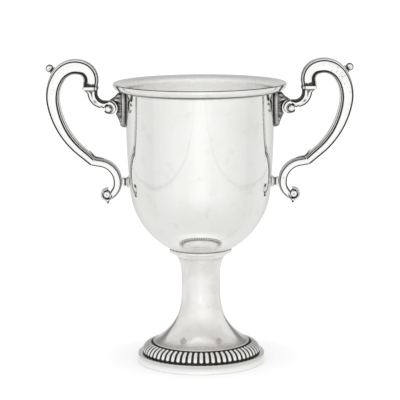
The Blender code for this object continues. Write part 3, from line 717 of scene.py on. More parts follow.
def make_turned_collar(material):
    """The moulded ring under the bowl: a rounded edge over a hollow cone."""
    edge_reach = 0.0013
    edge_floor = COLLAR_FLOOR + COLLAR_UNDERCUT
    edge_height = (COLLAR_TOP - edge_floor) / 2
    edge_middle = (COLLAR_RADIUS - edge_reach, edge_floor + edge_height)
    dish_radii = [ramp(step / 16, COLLAR_BORE, COLLAR_RADIUS - 0.0016) for step in range(17)]
    outline = [(radius, bowl_underside(radius) - SEAT_GAP) for radius in dish_radii]
    outline += ellipse_arc(edge_middle, (edge_reach, edge_height), 80, -80, 14)
    cone_start = (COLLAR_RADIUS - 0.0019, edge_floor - 0.0001)
    cone = [
        (ramp(share, cone_start[0], STEM_TOP_RADIUS + 0.0002), ramp(share**0.8, cone_start[1], COLLAR_FLOOR + 0.0003))
        for share in (0.0, 0.2, 0.4, 0.6, 0.8, 1.0)
    ]
    satin = [0.0] * len(outline) + [0.85] * len(cone) + [0.0, 0.0]
    outline += [*cone, (STEM_TOP_RADIUS, PEDESTAL_TOP + 0.00003), (COLLAR_BORE, COLLAR_FLOOR)]
    stains_and_shades = (
        StainAndShade(COLLAR_RADIUS - 0.0012, COLLAR_TOP, 0.0008, 1.0),
        StainAndShade(STEM_TOP_RADIUS, COLLAR_FLOOR, 0.0006, 0.15),
    )
    turned("turned_collar", "stem_collar", outline, STEM_SEGMENTS, material, stains_and_shades, 0.0, satin)


def lip_underside(radius):
    """The height of the lip's underside at a radius beyond its bend."""
    thickness = BOWL_WALL / math.cos(math.radians(LIP_SLOPE))
    return RIM_LEVEL - thickness - (LIP_RADIUS - radius) * math.tan(math.radians(LIP_SLOPE))


def lip_bend_centre():
    """The middle of the bend between the bowl's wall and its lip."""
    middle = WALL_RADIUS + LIP_BEND
    tangent = aim(90 + LIP_SLOPE) * LIP_BEND
    return middle, lip_underside(middle + tangent.x) - tangent.y


def bowl_reach(height):
    """The radius of the bowl's outside at a height: a round bottom, then a wall that ever less leans outwards."""
    rise = height - BOWL_CENTRE
    if rise < -ROUND_TOP_DROP:
        return BOWL_RADIUS * math.sqrt(1 - (rise / BOWL_DEPTH) ** 2)
    if rise < 0:
        share = 1 + rise / ROUND_TOP_DROP
        joined = BOWL_RADIUS * math.sqrt(1 - (ROUND_TOP_DROP / BOWL_DEPTH) ** 2)
        slope = BOWL_RADIUS**2 * ROUND_TOP_DROP / BOWL_DEPTH**2 / joined * ROUND_TOP_DROP
        risen = smooth(share)
        bulge = share * (1 - share) * (slope * (1 - share) - WAIST_SLOPE * ROUND_TOP_DROP * share)
        return ramp(risen, joined, WAIST_RADIUS) + bulge
    lean = WALL_RADIUS - WAIST_RADIUS
    return WALL_RADIUS - lean * max(0.0, 1 - rise * WAIST_SLOPE / 2 / lean) ** 2


def bowl_wall(first, last, steps, inset=0.0):
    """Points of the bowl's wall after the height first, up to last."""
    heights = [ramp(step / steps, first, last) for step in range(1, steps + 1)]
    return [(bowl_reach(height) - inset, height) for height in heights]


def make_raised_bowl(material):
    """The raised vessel, whose lip ends in a rolled edge."""
    bend = lip_bend_centre()
    bend_inside = LIP_BEND + BOWL_WALL
    round_end = -math.degrees(math.asin(ROUND_TOP_DROP / BOWL_DEPTH))
    outer = ellipse_arc((0.0, BOWL_CENTRE), (BOWL_RADIUS, BOWL_DEPTH), -90, round_end, 48)
    outer += bowl_wall(outer[-1][1], bend[1], 74)
    outer += ellipse_arc(bend, (LIP_BEND, LIP_BEND), 180, 90 + LIP_SLOPE, 10)[1:]
    lip_end = LIP_RADIUS - 0.0001
    outer += straight(outer[-1], (lip_end, lip_underside(lip_end)), 10)
    edge_round = BOWL_WALL * 0.62
    edge_middle = (LIP_RADIUS - edge_round - 0.00002, RIM_LEVEL - edge_round)
    outer += ellipse_arc(edge_middle, (edge_round, edge_round), -10, 90, 8)
    inner = ellipse_arc(bend, (bend_inside, bend_inside), 90 + LIP_SLOPE, 180, 12)
    inner = straight(outer[-1], inner[0], 12) + inner[1:]
    inner += bowl_wall(bend[1], BOWL_CENTRE - ROUND_TOP_DROP, 36, BOWL_WALL)
    inner_depth = BOWL_DEPTH - BOWL_WALL
    inner_end = -math.degrees(math.asin(ROUND_TOP_DROP / inner_depth))
    inner_radii = (inner[-1][0] / math.cos(math.radians(inner_end)), inner_depth)
    inner += ellipse_arc((0.0, BOWL_CENTRE), inner_radii, inner_end, -90, 40)[1:]
    stains_and_shades = (
        StainAndShade(COLLAR_RADIUS, bowl_underside(COLLAR_RADIUS), 0.0010, 0.7),
        # Broad painted shade round the collar on the bowl's underside.
        StainAndShade(0.0290, bowl_underside(0.0290), 0.0060, 0.12),
        StainAndShade(LIP_RADIUS - 0.0018, RIM_LEVEL - 0.0003, 0.0005, 0.40),
    )
    satin = [0.55 * (1 - smooth((radius - 0.0310) / 0.0140)) for radius, _ in outer]
    satin += [smooth((index - 3) / 12) for index in range(len(inner))]

    def painted_bowl_shade(angles, profile):
        """Painted shade under the handles, on the far side of the lip and along the near side of the lip's edge.

        The painted shade line under the moulding stays on the outside, because the wall is thinner than the line is
        broad.
        """
        inside = np.array(satin) * (np.arange(len(profile)) > len(outer))
        along_lip = np.arange(len(profile)) - len(outer)
        line_drop, line_spread = 0.0008, 0.0009
        below_moulding = (MOULDING_FLOOR - line_drop - profile[:, 1]) / line_spread
        outside_line = (along_lip < 0) * np.exp(-(below_moulding**2))
        far_lip = 0.26 * np.clip((25 - along_lip) / 6, 0, 1) * (along_lip > 1) * np.clip(np.sin(angles) * 1.6, 0, 1)
        bend_line = 0.45 * np.exp(-(((along_lip - 20) / 3.0) ** 2)) * np.cos(angles) ** 8
        near_edge = 1.0 * (abs(along_lip + 2) < 6) * np.clip((-0.1 - np.sin(angles)) / 0.4, 0, 1)
        beside = 0.25 * np.cos(angles) ** 2 + 0.25 * np.cos(angles) ** 20
        return np.maximum(np.maximum(beside * inside + far_lip + bend_line, near_edge), outside_line)

    outline = outer + inner
    turned("raised_bowl", "bowl", outline, BODY_SEGMENTS, material, stains_and_shades, SHEET_RIPPLE, satin, painted_bowl_shade)


def make_lip_moulding(material):
    """The rounded moulding under the lip, close against the lip's edge."""
    bend = lip_bend_centre()
    seat = LIP_BEND - SEAT_GAP
    seat_end = 180 - math.degrees(math.asin((MOULDING_FLOOR - bend[1]) / seat))
    edge_top = lip_underside(LIP_RADIUS)
    brow_rise = edge_top - MOULDING_LAND - MOULDING_FLOOR
    brow = (LIP_RADIUS - MOULDING_BROW, MOULDING_FLOOR + brow_rise)
    margin = 0.00005
    outline = ellipse_arc(brow, (MOULDING_BROW - margin, brow_rise), -90, 0, 26)
    outline += [(LIP_RADIUS - margin, edge_top)]
    outline += ellipse_arc(bend, (seat, seat), 90 + LIP_SLOPE, seat_end, 8)
    outline += straight(outline[-1], (brow[0], MOULDING_FLOOR), 6)[:-1]
    stains_and_shades = (
        # The underside is darkened all across: a dark joint next to the wall, and painted shade under the moulding.
        StainAndShade(WALL_RADIUS + 0.0010, MOULDING_FLOOR, 0.0014, 1.0),
        StainAndShade(WALL_RADIUS + 0.0030, MOULDING_FLOOR, 0.0013, 1.0),
        StainAndShade(WALL_RADIUS + 0.0062, MOULDING_FLOOR, 0.0017, 1.0),
    )
    turned("lip_moulding", "rim_moulding", outline, BODY_SEGMENTS, material, stains_and_shades, MOULDING_RIPPLE)


def make_upper_arm(material):
    """The arm from the band to its curl, with a raised border and a sunk, pitted middle."""
    pieces = (Run(ARM_RISE), Bend(ARM_BEND, -90), Run(ARM_RUN), Bend(CURL_RADIUS, CURL_TURN))
    stations = path(ARM_START, -90, pieces)
    bend_end = ARM_RISE + ARM_BEND * math.radians(90)
    marks = (
        (0.0, ARM_TOP_WIDTH),
        (ARM_RISE / 2, ARM_SHOULDER_WIDTH + ARM_SWELL / 2),
        (ARM_RISE, ARM_NECK_WIDTH + ARM_SWELL),
        (ramp(0.5, ARM_RISE, bend_end), ramp(0.5, ARM_NECK_WIDTH, ARM_WIDTH) + ARM_SWELL),
        (bend_end, ARM_WIDTH + ARM_SWELL / 2),
        (bend_end + ARM_RUN, ARM_WIDTH),
        (stations[-1].along, CURL_TIP_WIDTH),
    )
    widths, rights = [], []
    for station in stations:
        clear = clear_width(station, CURL_CENTRE, CURL_RADIUS - CURL_WIDTH)
        curled = math.degrees((station.along - bend_end - ARM_RUN) / CURL_RADIUS)
        tuck = taper(curled, ((CURL_TUCK_START, 0.0), (CURL_TUCK_END, CURL_TUCK)))
        rights.append(tuck)
        widths.append(min(taper(station.along, marks) + tuck, clear) - tuck)

    curl_start = bend_end + ARM_RUN

    def borders_at(station):
        curled = smooth((station.along - curl_start + 0.0010) / 0.0020)
        toned = ramp(curled, 0.95, 0.70)
        right = Border(ramp(curled, 0.0023, 0.0007), toned, toned, toned, ramp(curled, 0.9, 0.5))
        tones = ((0.95, 0.55), (0.95, 0.45), (0.90, 0.30), (0.85, 0.6))
        left = Border(ramp(curled, 0.0013, 0.0007), *(ramp(curled, first, last) for first, last in tones))
        return right, left

    def paint_at(station, share):
        at_band = 0.75 * bell(station.along, 0.0002, 0.0007)
        wedge_edge = 0.62 - 0.42 * station.along / 0.0042
        wedge = 0.90 * smooth((0.55 * wedge_edge - abs(share - 0.52)) / 0.10) * (0.0004 < station.along < 0.0052)
        blotch = 0.90 * bell(station.along, 0.0068, 0.0010) * bell(share, 0.55, 0.22)
        streak = 0.40 * bell(station.along, 0.0098, 0.0030) * bell(share, 0.72, 0.10)
        curled = smooth((station.along - curl_start) / 0.0030)
        recess = 0.60 * curled * smooth((share - 0.55) / 0.20)
        pits = max(0.4 * (1 - curled), recess)
        return max(at_band, wedge, blotch, streak, recess), pits

    slants = [0.0] * len(stations)
    rings = bar(stations, widths, rights, slants, -0.0002, borders_at, paint_at)
    both_sides("arm", rings, material, "upper_arm")


def dome_outline(radius, rise, dimple):
    """Half of a bead's section from the middle of its front: a dimple and a dome."""
    points = []
    for step in range(15):
        angle = 90 - 90 * step / 14
        toward = aim(angle)
        sink = dimple * (1 - smooth(toward.x / 0.32))
        points.append((radius * toward.x, rise * toward.y - sink))
    return points


def make_bead(name, replaced, centre, radius, dimple, material):
    """A bead through a curl, domed on both faces of the handle, dark at its root and in its dimple."""
    shoulder = HANDLE_DEPTH / 2 - 0.0014
    rise = HANDLE_DEPTH / 2 + BEAD_PROUD - shoulder
    half = [(reach, shoulder + height) for reach, height in dome_outline(radius, rise, dimple)]
    half += straight(half[-1], (radius, 0.0), 3)
    profile = half + [(reach, -height) for reach, height in reversed(half[:-1])]
    angles = np.arange(BEAD_SEGMENTS) * (math.tau / BEAD_SEGMENTS)
    rings = []
    for reach, depth in profile:
        in_dimple = 0.75 * (1 - smooth(reach / (0.34 * radius))) if dimple else 0.0
        at_root = (0.95 if dimple else 0.70) * smooth((reach / radius - 0.92) / 0.08)
        dark = max(in_dimple, at_root)
        rings.append([(centre.x + reach * math.cos(a), depth, centre.y + reach * math.sin(a), dark) for a in angles])
    both_sides(name, rings, material, replaced)


def band_tarnish(across):
    """The band's dark lines, from -1 at its end next to the bowl to 1 at the other."""
    bowl_end = smooth((-0.40 - across) / 0.08)
    light_line = bell(across, -0.70, 0.09)
    far_end = 0.75 * smooth((across - 0.86) / 0.08)
    return max(0.92 * bowl_end * (1 - 0.85 * light_line), far_end)


def make_band(material):
    """The flat band between arm and scroll, with a rounded rim all round."""
    rim_inset = 0.0013
    corner_power = 0.32
    levels = 14
    rings = []
    for level in range(levels + 1):
        toward = aim(ramp(level / levels, -86.0, 86.0))
        swell = abs(toward.x) ** 0.55
        inset = rim_inset * (1 - swell)
        half_width = BAND_WIDTH / 2 - inset
        half_depth = BAND_DEPTH / 2 - inset
        height = BAND_CENTRE.y + BAND_HEIGHT / 2 * toward.y
        edge = 1 - smooth((swell - 0.45) / 0.35)
        ring = []
        for around in circle(96):
            x = half_width * math.copysign(abs(around.x) ** corner_power, around.x)
            y = half_depth * math.copysign(abs(around.y) ** corner_power, around.y)
            ring.append((BAND_CENTRE.x + x, y, height, max(edge, band_tarnish(x / (BAND_WIDTH / 2)))))
        rings.append(ring)
    both_sides("band", rings, material, "scroll_collar")


def scroll_stations():
    return path(SCROLL_START, 90, BENDS_TO_THUMB + BENDS_TO_KNEE)


def scroll_width(along):
    """The width of the main scroll, full as far as its crest and then tapering to the knee."""
    length = scroll_stations()[-1].along
    return taper(along, ((length * SCROLL_TAPER_START, SCROLL_WIDTH), (length, SCROLL_END_WIDTH)))


# Borders of the main scroll: metres along it, width, and the tarnish of the rim, the line and the ridge
SCROLL_INNER = (
    (0.0000, 0.0040, 0.45, 1.00, 1.00),
    (0.0150, 0.0036, 0.30, 1.00, 1.00),
    (0.0220, 0.0027, 0.40, 0.90, 1.00),
    (0.0330, 0.0027, 0.35, 0.85, 0.90),
    (0.0480, 0.0033, 0.15, 1.00, 0.15),
    (0.0950, 0.0037, 0.15, 1.00, 0.08),
    (0.1200, 0.0030, 0.40, 1.00, 0.20),
)
SCROLL_OUTER = (
    (0.0000, 0.0031, 0.90, 0.60, 0.10),
    (0.0120, 0.0030, 0.85, 0.35, 0.12),
    (0.0200, 0.0028, 0.60, 0.20, 0.12),
    (0.0380, 0.0026, 0.50, 0.15, 0.12),
    (0.0500, 0.0018, 0.55, 0.70, 0.60),
    (0.0600, 0.0015, 1.00, 1.00, 1.00),
)


def make_scroll(material):
    """The C-scroll: a plain crowned face between dark bevels."""
    stations = scroll_stations()
    length = stations[-1].along
    widths = [scroll_width(station.along) for station in stations]
    rights = [-width / 2 for width in widths]
    slants = [KNEE_TURN / 2 * smooth(1 - (length - station.along) / 0.0070) for station in stations]

    def border_along(at, marks):
        return Border(*(taper(at, [(mark[0], mark[column]) for mark in marks]) for column in (1, 2, 3, 4)))

    def borders_at(station):
        return border_along(station.along, SCROLL_INNER), border_along(station.along, SCROLL_OUTER)

    def paint_at(station, share):
        wave = 0.0020 + 0.0003 * math.sin(share * 9.0) + 0.0002 * math.sin(share * 17.0 + 1.0)
        at_band = 0.97 * (1 - smooth((station.along - wave) / 0.0005))
        way = station.along / length
        pits = 0.10 + bell(way, 0.36, 0.13) + 0.7 * bell(way, 0.84, 0.09)
        return at_band, 2.2 * min(1.0, pits)

    rings = bar(stations, widths, rights, slants, 0.0003, borders_at, paint_at)
    both_sides("scroll", rings, material, "main_scroll")


def make_thumb_ball(material):
    """The ball on the scroll's shoulder, on a neck and a small saucer."""
    station = path(SCROLL_START, 90, BENDS_TO_THUMB)[-1]
    outward = left_of(station.heading)
    seat = station.point + outward * (scroll_width(station.along) / 2 + SEAT_GAP)
    middle = THUMB_BEAD_RADIUS
    neck_turn = math.degrees(math.asin(THUMB_SAUCER_HEIGHT * 1.5 / THUMB_BEAD_RADIUS - 1))
    outline = [(0.0, 0.0), (THUMB_SAUCER_RADIUS * 0.85, 0.0)]
    rim_middle = (THUMB_SAUCER_RADIUS * 0.85, THUMB_SAUCER_HEIGHT / 2)
    outline += ellipse_arc(rim_middle, (0.0005, THUMB_SAUCER_HEIGHT / 2), -60, 90, 6)
    neck = THUMB_BEAD_RADIUS * math.cos(math.radians(neck_turn)) * 0.72
    outline += [(neck, THUMB_SAUCER_HEIGHT * 1.1), (neck, THUMB_SAUCER_HEIGHT * 1.35)]
    outline += ellipse_arc((0.0, middle), (THUMB_BEAD_RADIUS, THUMB_BEAD_RADIUS), neck_turn, 90, 22)
    axis = Vector((outward.x, 0.0, outward.y))
    flat = Vector((-outward.y, 0.0, outward.x))
    side = Vector((0.0, 1.0, 0.0))
    base = Vector((seat.x, 0.0, seat.y))
    rings = []
    for reach, height in outline:
        ring = []
        for around in circle(BEAD_SEGMENTS):
            place = base + axis * height + (flat * around.x + side * around.y) * reach
            from_middle = math.hypot(reach * around.x, height - middle) / THUMB_BEAD_RADIUS
            # Painted shade: as seen from the front and from behind, the ball darkens toward its outline and has a
            # dark spot in its middle.
            painted_outline_shade = smooth((from_middle - 0.62) / 0.24)
            root = 1 - smooth((height - THUMB_SAUCER_HEIGHT * 1.6) / 0.0016)
            painted_middle_shade = 0.60 * (1 - smooth((from_middle - 0.10) / 0.16))
            ring.append((*place, max(painted_outline_shade, root, painted_middle_shade) if height > 0.0003 else 0.6))
        rings.append(ring)
    both_sides("thumb_ball", rings, material, "thumb_bead")


def tail_path(*more_bends):
    """Stations of the tail, from its mitre at the knee and over its bends."""
    knee = scroll_stations()[-1]
    mitre = knee.heading + KNEE_TURN / 2
    half = TAIL_WIDTH / 2 / math.cos(math.radians(KNEE_TURN / 2))
    start = knee.point + aim(mitre) * SEAT_GAP - left_of(mitre) * half
    return path(start, knee.heading + KNEE_TURN, TAIL_BENDS + more_bends)


def volute_centre():
    """The middle of the curl at the tail's end."""
    last = tail_path(*RETURN_BENDS)[-1]
    return last.point + left_of(last.heading) * VOLUTE_RADIUS


def make_tail(material):
    """The tail: a slightly sunk face, a curl at its end and a nib under the curl."""
    stations = tail_path(*RETURN_BENDS, Bend(VOLUTE_RADIUS, VOLUTE_TURN))
    return_start = tail_path()[-1].along
    throat = tail_path(*RETURN_BENDS)[-1].along
    centre = volute_centre()
    marks = (
        (return_start, TAIL_WIDTH),
        (throat, TAIL_THROAT_WIDTH),
        (throat + 0.0090, VOLUTE_WIDTH),
        (stations[-1].along, VOLUTE_TIP_WIDTH),
    )

    def nib_share(station):
        return smooth(1 - abs(station.heading - NIB_HEADING) / VISIBLE_NIB_SPREAD)

    widths, rights, slants = [], [], []
    for station in stations:
        recess = THROAT_RECESS if station.along < throat else 0.0
        clear = clear_width(station, centre, VOLUTE_RADIUS - VOLUTE_WIDTH + recess)
        width = min(taper(station.along, marks), clear)
        nib = VISIBLE_NIB_LENGTH * nib_share(station)
        widths.append(width + nib)
        rights.append(-nib)
        slants.append(-KNEE_TURN / 2 * (1 - smooth(station.along / 0.0060)))

    in_curl = ((throat + 0.0040, 0.0006), (stations[-1].along, 0.0004))
    right = ((0.0, 0.0022), (return_start, 0.0019), (throat, 0.0013), *in_curl)
    left = ((0.0, 0.0012), (throat, 0.0012), *in_curl)

    def borders_at(station):
        at = station.along
        curled = smooth((at - throat) / 0.0040)
        nib = min(1.0, 2.5 * nib_share(station))
        tones = (ramp(curled, 0.25, 0.32), ramp(curled, 0.90, 0.32), ramp(curled, 0.18, 0.45), 0.33)
        near = Border(taper(at, right) + 0.0022 * nib, *(max(tone, nib) for tone in tones))
        return near, Border(taper(at, left), 0.85, 0.85, 0.85)

    def paint_at(station, share):
        way = station.along / throat
        pits = bell(share, 0.5, 0.20) * bell(way, 0.68, 0.24)
        curled = smooth((station.along - throat - 0.0020) / 0.0050)
        tip = 0.9 * smooth((station.along - stations[-1].along + 0.0012) / 0.0012)
        return max(0.10 * curled, tip), 1.8 * pits

    rings = bar(stations, widths, rights, slants, -0.0004, borders_at, paint_at)
    both_sides("tail", rings, material, "tail_scroll")


def make_knee_leaf(material):
    """A small leaf laid over the joint on the inner edge of the knee."""
    leaf_reach = 0.0085
    half_breadth = 0.0040
    half_thickness = 0.00055
    scroll = scroll_stations()
    leaf = [station for station in scroll if scroll[-1].along - station.along < leaf_reach]
    tail = [station for station in tail_path() if station.along < leaf_reach]
    spine = []
    for station in leaf:
        width = scroll_width(station.along)
        spine.append((station.point - left_of(station.heading) * width / 2, station.heading))
    spine += [(station.point, station.heading) for station in tail[1:]]
    rings = []
    for index, (point, heading) in enumerate(spine):
        share = index / (len(spine) - 1)
        breadth = half_breadth * math.sin(math.pi * min(1.0, 0.03 + 0.97 * share)) ** 0.8 + 0.0002
        lift = 0.0008 * (1 - smooth(share / 0.40)) + 0.0003
        outward = -left_of(heading)
        ring = []
        for around in circle(12):
            out = point + outward * (lift + half_thickness * around.y * math.sin(math.pi * (0.08 + 0.84 * share)))
            ring.append((out.x, breadth * around.x, out.y, 0.95 if abs(around.x) > 0.7 else 0.3))
        rings.append(ring)
    both_sides("knee_leaf", rings, material, None)


# The calyx from its foot to its top: the height over the curl's middle, the reach from the wall and the breadth, as
# shares of the escutcheon's sizes
CALYX_OUTLINE = (
    (-0.54, 0.24, 0.26),
    (-0.49, 0.36, 0.42),
    (-0.35, 0.43, 0.61),
    (-0.25, 0.53, 0.76),
    (-0.15, 0.64, 0.89),
    (0.25, 1.00, 1.00),
    (0.35, 0.70, 0.95),
    (0.46, 0.50, 0.79),
)

# Cast drawing on the calyx, laid in this order: millimetres out from the wall and up from the curl's middle,
# half length, half thickness, the long axis's angle, and the tarnish
Vein = namedtuple("Vein", "out rise length thickness angle tarnish")
VEINS = [
    Vein(*row)
    for row in (
        (0.70, 0.0, 17.0, 0.50, 90, 0.90), (2.6, 2.6, 11.6, 0.80, 90, 0.22), (4.0, 4.0, 10.0, 0.38, 90, 0.95),
        (2.8, -10.5, 4.0, 0.75, 90, 0.30), (5.0, 13.0, 1.6, 1.2, 0, 1.0), (8.9, 11.3, 5.6, 1.05, -47, 1.0),
        (6.3, 11.0, 1.7, 0.50, -24, 0.25), (6.6, 9.4, 2.8, 0.45, -18, 0.95), (7.4, 7.6, 2.3, 0.52, 23, 0.0),
        (8.2, 5.7, 4.2, 0.85, 16, 1.0), (5.6, 3.3, 1.3, 0.45, 0, 0.40), (5.6, 2.2, 1.4, 0.35, 0, 0.72),
        (5.4, 1.1, 1.3, 0.45, 0, 0.45), (5.4, 0.0, 1.4, 0.35, 0, 0.72), (5.4, -1.1, 1.3, 0.45, 0, 0.45),
        (6.2, -2.3, 1.8, 0.35, 0, 0.72), (6.1, -3.5, 1.5, 0.75, 0, 0.35), (5.9, -8.2, 2.8, 0.45, 75, 0.90),
        (4.7, -6.5, 0.9, 0.85, 0, 1.0), (4.4, -9.4, 1.0, 0.60, 90, 0.15), (4.2, -10.9, 0.8, 0.35, 0, 0.85),
        (4.1, -12.3, 0.9, 0.55, 90, 0.20),
    )
]


def calyx_tarnish(out, rise):
    """The tarnish of the calyx's drawing at a distance out from the wall and a height above the curl's middle."""
    tarnish = 0.70
    for vein in VEINS:
        offset = Vector((out * 1000 - vein.out, rise * 1000 - vein.rise))
        along = offset.dot(aim(vein.angle)) / vein.length
        aside = offset.dot(left_of(vein.angle)) / vein.thickness
        weight = math.exp(-((along * along + aside * aside) ** 2))
        tarnish = ramp(weight, tarnish, vein.tarnish)
    return tarnish


def make_calyx(material):
    """The fluted calyx on the wall: an upright border rib, veins round the curl, and a small drop below."""
    sizes = (ESCUTCHEON_HEIGHT, ESCUTCHEON_REACH, ESCUTCHEON_WIDTH)
    rises, reaches, breadths = (np.array(CALYX_OUTLINE) * sizes).T
    wall = WALL_RADIUS + SEAT_GAP
    clear = CURL_RADIUS + SEAT_GAP
    columns = 72
    levels = 110
    rings = []
    for level in range(levels + 1):
        rise = ramp(level / levels, rises[0], rises[-1])
        reach = float(np.interp(rise, rises, reaches))
        breadth = float(np.interp(rise, rises, breadths))
        if abs(rise) < clear:
            reach = min(reach, CURL_REACH - math.sqrt(clear * clear - rise * rise))
        swell = max(0.0, reach - SEAT_GAP - ESCUTCHEON_EDGE)
        height = CURL_CENTRE.y + rise
        front, back = [], []
        for column in range(columns + 1):
            share = 2 * column / columns - 1
            across = share * breadth / 2
            start = math.sqrt(wall * wall - across * across)
            out = ESCUTCHEON_EDGE + swell * (1 - abs(share) ** 1.8)
            dark = calyx_tarnish(out, rise)
            carved = max(ESCUTCHEON_EDGE, out - CALYX_CARVING * dark)
            front.append((start + carved, across, height, dark))
            back.append((start, across, height, 1.0))
        rings.append(front + back[::-1])
    both_sides("calyx", rings, material, "escutcheon")


def make_spool(material):
    """The turned spool that ties the tail to the bowl: two rings, a dark groove and a plate on the wall."""
    tail = tail_path()[-1].point
    near = bowl_reach(tail.y) + SEAT_GAP
    far = tail.x - SEAT_GAP
    groove_start = near + (far - near) * 0.43
    groove_end = near + (far - near) * 0.69
    plate_end = near + 0.0009
    outline = [(0.0, near), (STRUT_PLATE_RADIUS - 0.0002, near), (STRUT_PLATE_RADIUS, near + 0.0003)]
    outline += [(STRUT_PLATE_RADIUS - 0.0002, plate_end), (STRUT_RING_RADIUS, plate_end + 0.0001)]
    outline += [(STRUT_RING_RADIUS, groove_start - 0.0002), (STRUT_RING_RADIUS - 0.0003, groove_start)]
    outline += [(STRUT_GROOVE_RADIUS, groove_start + 0.0001), (STRUT_GROOVE_RADIUS, groove_end - 0.0001)]
    outline += [(STRUT_RING_RADIUS - 0.0004, groove_end), (STRUT_RING_RADIUS - 0.0001, groove_end + 0.0002)]
    outline += [(STRUT_RING_RADIUS - 0.0001, far - 0.0002), (STRUT_RING_RADIUS - 0.0004, far), (0.0, far)]
    rings = []
    for reach, place in outline:
        in_groove = 0.9 if groove_start < place < groove_end else 0.0
        at_wall = 0.7 if plate_end < place < plate_end + 0.0002 or place <= near else 0.0
        dark = max(in_groove, at_wall)
        rings.append([(place, reach * around.x, tail.y + reach * around.y, dark) for around in circle(BEAD_SEGMENTS)])
    both_sides("spool", rings, material, "lower_strut")


def make_cup():
    body = silver("polished body silver", BODY_LOOK)
    stem = silver("dulled stem silver", STEM_LOOK)
    cast = silver("cast handle silver", CAST_LOOK)
    fluted = silver("oxidised fluted silver", FLUTED_LOOK)
    make_foot_hoop(body)
    make_gadroon_border(silver("gadroon border silver", BORDER_LOOK))
    make_spun_pedestal(stem)
    make_turned_collar(stem)
    make_raised_bowl(body)
    make_lip_moulding(body)
    make_calyx(fluted)
    make_upper_arm(cast)
    make_bead("arm_stud", "arm_bead", CURL_CENTRE, CURL_RADIUS - CURL_WIDTH - SEAT_GAP, 0.0, cast)
    make_band(cast)
    make_scroll(cast)
    make_thumb_ball(cast)
    make_tail(cast)
    make_bead("tail_stud", "volute_bead", volute_centre(), VOLUTE_RADIUS - VOLUTE_WIDTH - SEAT_GAP, 0.0006, cast)
    make_knee_leaf(cast)
    make_spool(cast)


def make_camera():
    data = bpy.data.cameras.new("camera")
    data.sensor_fit = "HORIZONTAL"
    data.sensor_width = SENSOR_WIDTH
    data.lens = FOCAL_PIXELS / IMAGE_PIXELS * SENSOR_WIDTH
    data.shift_x = -SHIFT_PIXELS / IMAGE_PIXELS
    data.clip_end = 100.0
    camera = placed("camera", data)
    tilt = Matrix.Rotation(math.radians(90 - CAMERA_PITCH), 4, "X")
    roll = Matrix.Rotation(math.radians(-CAMERA_ROLL), 4, "Z")
    camera.matrix_world = Matrix.Translation(CAMERA_PLACE) @ tilt @ roll
    bpy.context.scene.camera = camera


def studio_level(where, levels):
    """The brightness of the studio in the direction of a place or a direction, from straight in front to behind.

    With it come the distance from the axis and the three parts of the place.
    """
    x, y, z = apart(where)
    reach = from_axis(x, y)
    front = number("DIVIDE", y, number("MAXIMUM", reach, 0.001))
    stops = where.tree.nodes.new("ShaderNodeValToRGB")
    stops.color_ramp.interpolation = "EASE"
    while len(stops.color_ramp.elements) < len(levels):
        stops.color_ramp.elements.new(0.5)
    for element, (position, level) in zip(stops.color_ramp.elements, levels):
        element.position = position
        element.color = (level / 2, level / 2, level / 2, 1.0)
    fill(stops.inputs[0], 0.5 - front * 0.5)
    return Wire(stops.outputs[0]) * 2.0, reach, (x, y, z)


def mixed_shader(share, first, second):
    """A shader between two."""
    return made(share.tree, "ShaderNodeMixShader", {0: share, 1: first, 2: second})


def ray_kinds(tree):
    """Whether a ray comes straight from the camera, and whether it is a reflection."""
    rays = tree.nodes.new("ShaderNodeLightPath").outputs
    camera, through, glossy = (Wire(rays[f"Is {kind} Ray"]) for kind in ("Camera", "Transmission", "Glossy"))
    return number("MAXIMUM", camera, through), glossy


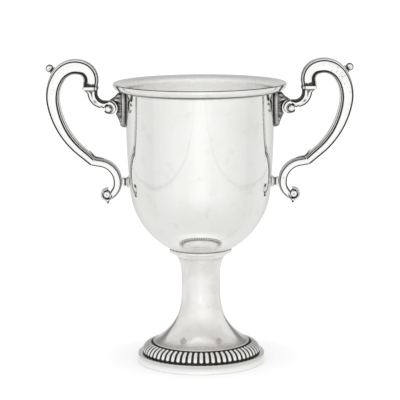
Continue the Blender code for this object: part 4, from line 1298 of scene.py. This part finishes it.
def make_floor():
    """A white sweep that stays white to the camera, takes the cup's shadow, and reflects as paper in a studio."""
    mesh = bpy.data.meshes.new("floor")
    shape = bmesh.new()
    bmesh.ops.create_circle(shape, cap_ends=True, radius=FLOOR_RADIUS, segments=96)
    shape.to_mesh(mesh)
    shape.free()
    floor = placed("floor", mesh)
    material = bpy.data.materials.new("white sweep")
    material.use_nodes = True
    tree = material.node_tree
    tree.nodes.remove(tree.nodes["Principled BSDF"])
    level, reach, (x, y, _) = studio_level(made(tree, "ShaderNodeTexCoord", {}, "Object"), FLOOR_LEVELS)
    away = spread_out(reach, *OWN_LEVEL_SPAN)
    # As the silver sees it, the floor near the cup holds a painted shadow, level 0.815, made lighter in front and
    # darker behind just beside the foot.
    beside_foot = 1.0 - spread_out(reach, *FOOT_SHADE_SPAN)
    near = beside_foot * (level * 0.80 - 0.60) + 0.815
    # The paper's line is a painted shadow along the paper's edge, seen only in the silver.
    aside = number("ABSOLUTE", x) - spread_out(y, *PAPER_CURVE_SPAN) * PAPER_CURVE
    line = spread_out(aside, *PAPER_LINE_START) - spread_out(aside, *PAPER_LINE_END)
    mixed = level * away + near * (1.0 - away)
    reflected = mixed * (1.0 - line * PAPER_LINE_STRENGTH)

    matt = made(tree, "ShaderNodeBsdfDiffuse", {"Color": FLOOR_COLOUR})
    glow = made(tree, "ShaderNodeEmission", {"Strength": FLOOR_GLOW})
    mirror = made(tree, "ShaderNodeEmission", {"Strength": reflected})
    seen, glossy = ray_kinds(tree)
    bright = spread_out(reach, *GLOW_SPAN) * 0.50 + 0.36
    surface = mixed_shader(glossy, mixed_shader(seen * bright, matt, glow), mirror)
    fill(tree.nodes["Material Output"].inputs["Surface"], surface)
    mesh.materials.append(material)


def make_world():
    """A white tent, a little greyer overhead."""
    world = bpy.data.worlds.new("tent")
    bpy.context.scene.world = world
    world.use_nodes = True
    world.cycles.sampling_method = "NONE"
    tree = world.node_tree
    tree.nodes.clear()
    level, _, (_, _, up) = studio_level(made(tree, "ShaderNodeTexCoord", {}, "Generated"), TENT_LEVELS)
    overhead = spread_out(up, *OVERHEAD_SPAN)
    tent = level * (1.0 - overhead) + overhead * OVERHEAD_LEVEL
    seen, glossy = ray_kinds(tree)
    reflected, plain, white = (
        made(tree, "ShaderNodeBackground", {"Color": (1.0, 1.0, 1.0, 1.0), "Strength": strength})
        for strength in (tent, PLAIN_TENT_LEVEL, 1.0)
    )
    output = tree.nodes.new("ShaderNodeOutputWorld")
    fill(output.inputs["Surface"], mixed_shader(seen, mixed_shader(glossy, plain, reflected), white))


def make_lamp():
    """One large soft lamp above and in front, which lights the bowl's inside and gives the floor its shadow."""
    data = bpy.data.lights.new("overhead", "AREA")
    data.shape = "SQUARE"
    data.size = LAMP_SIZE
    data.energy = LAMP_POWER
    lamp = placed("overhead", data)
    lamp.location = LAMP_PLACE
    lamp.rotation_euler = (math.radians(LAMP_TILT), 0.0, 0.0)
    lamp.visible_glossy = False


make_camera()
make_cup()
make_floor()
make_world()
make_lamp()
bpy.context.scene.view_settings.view_transform = "Standard"
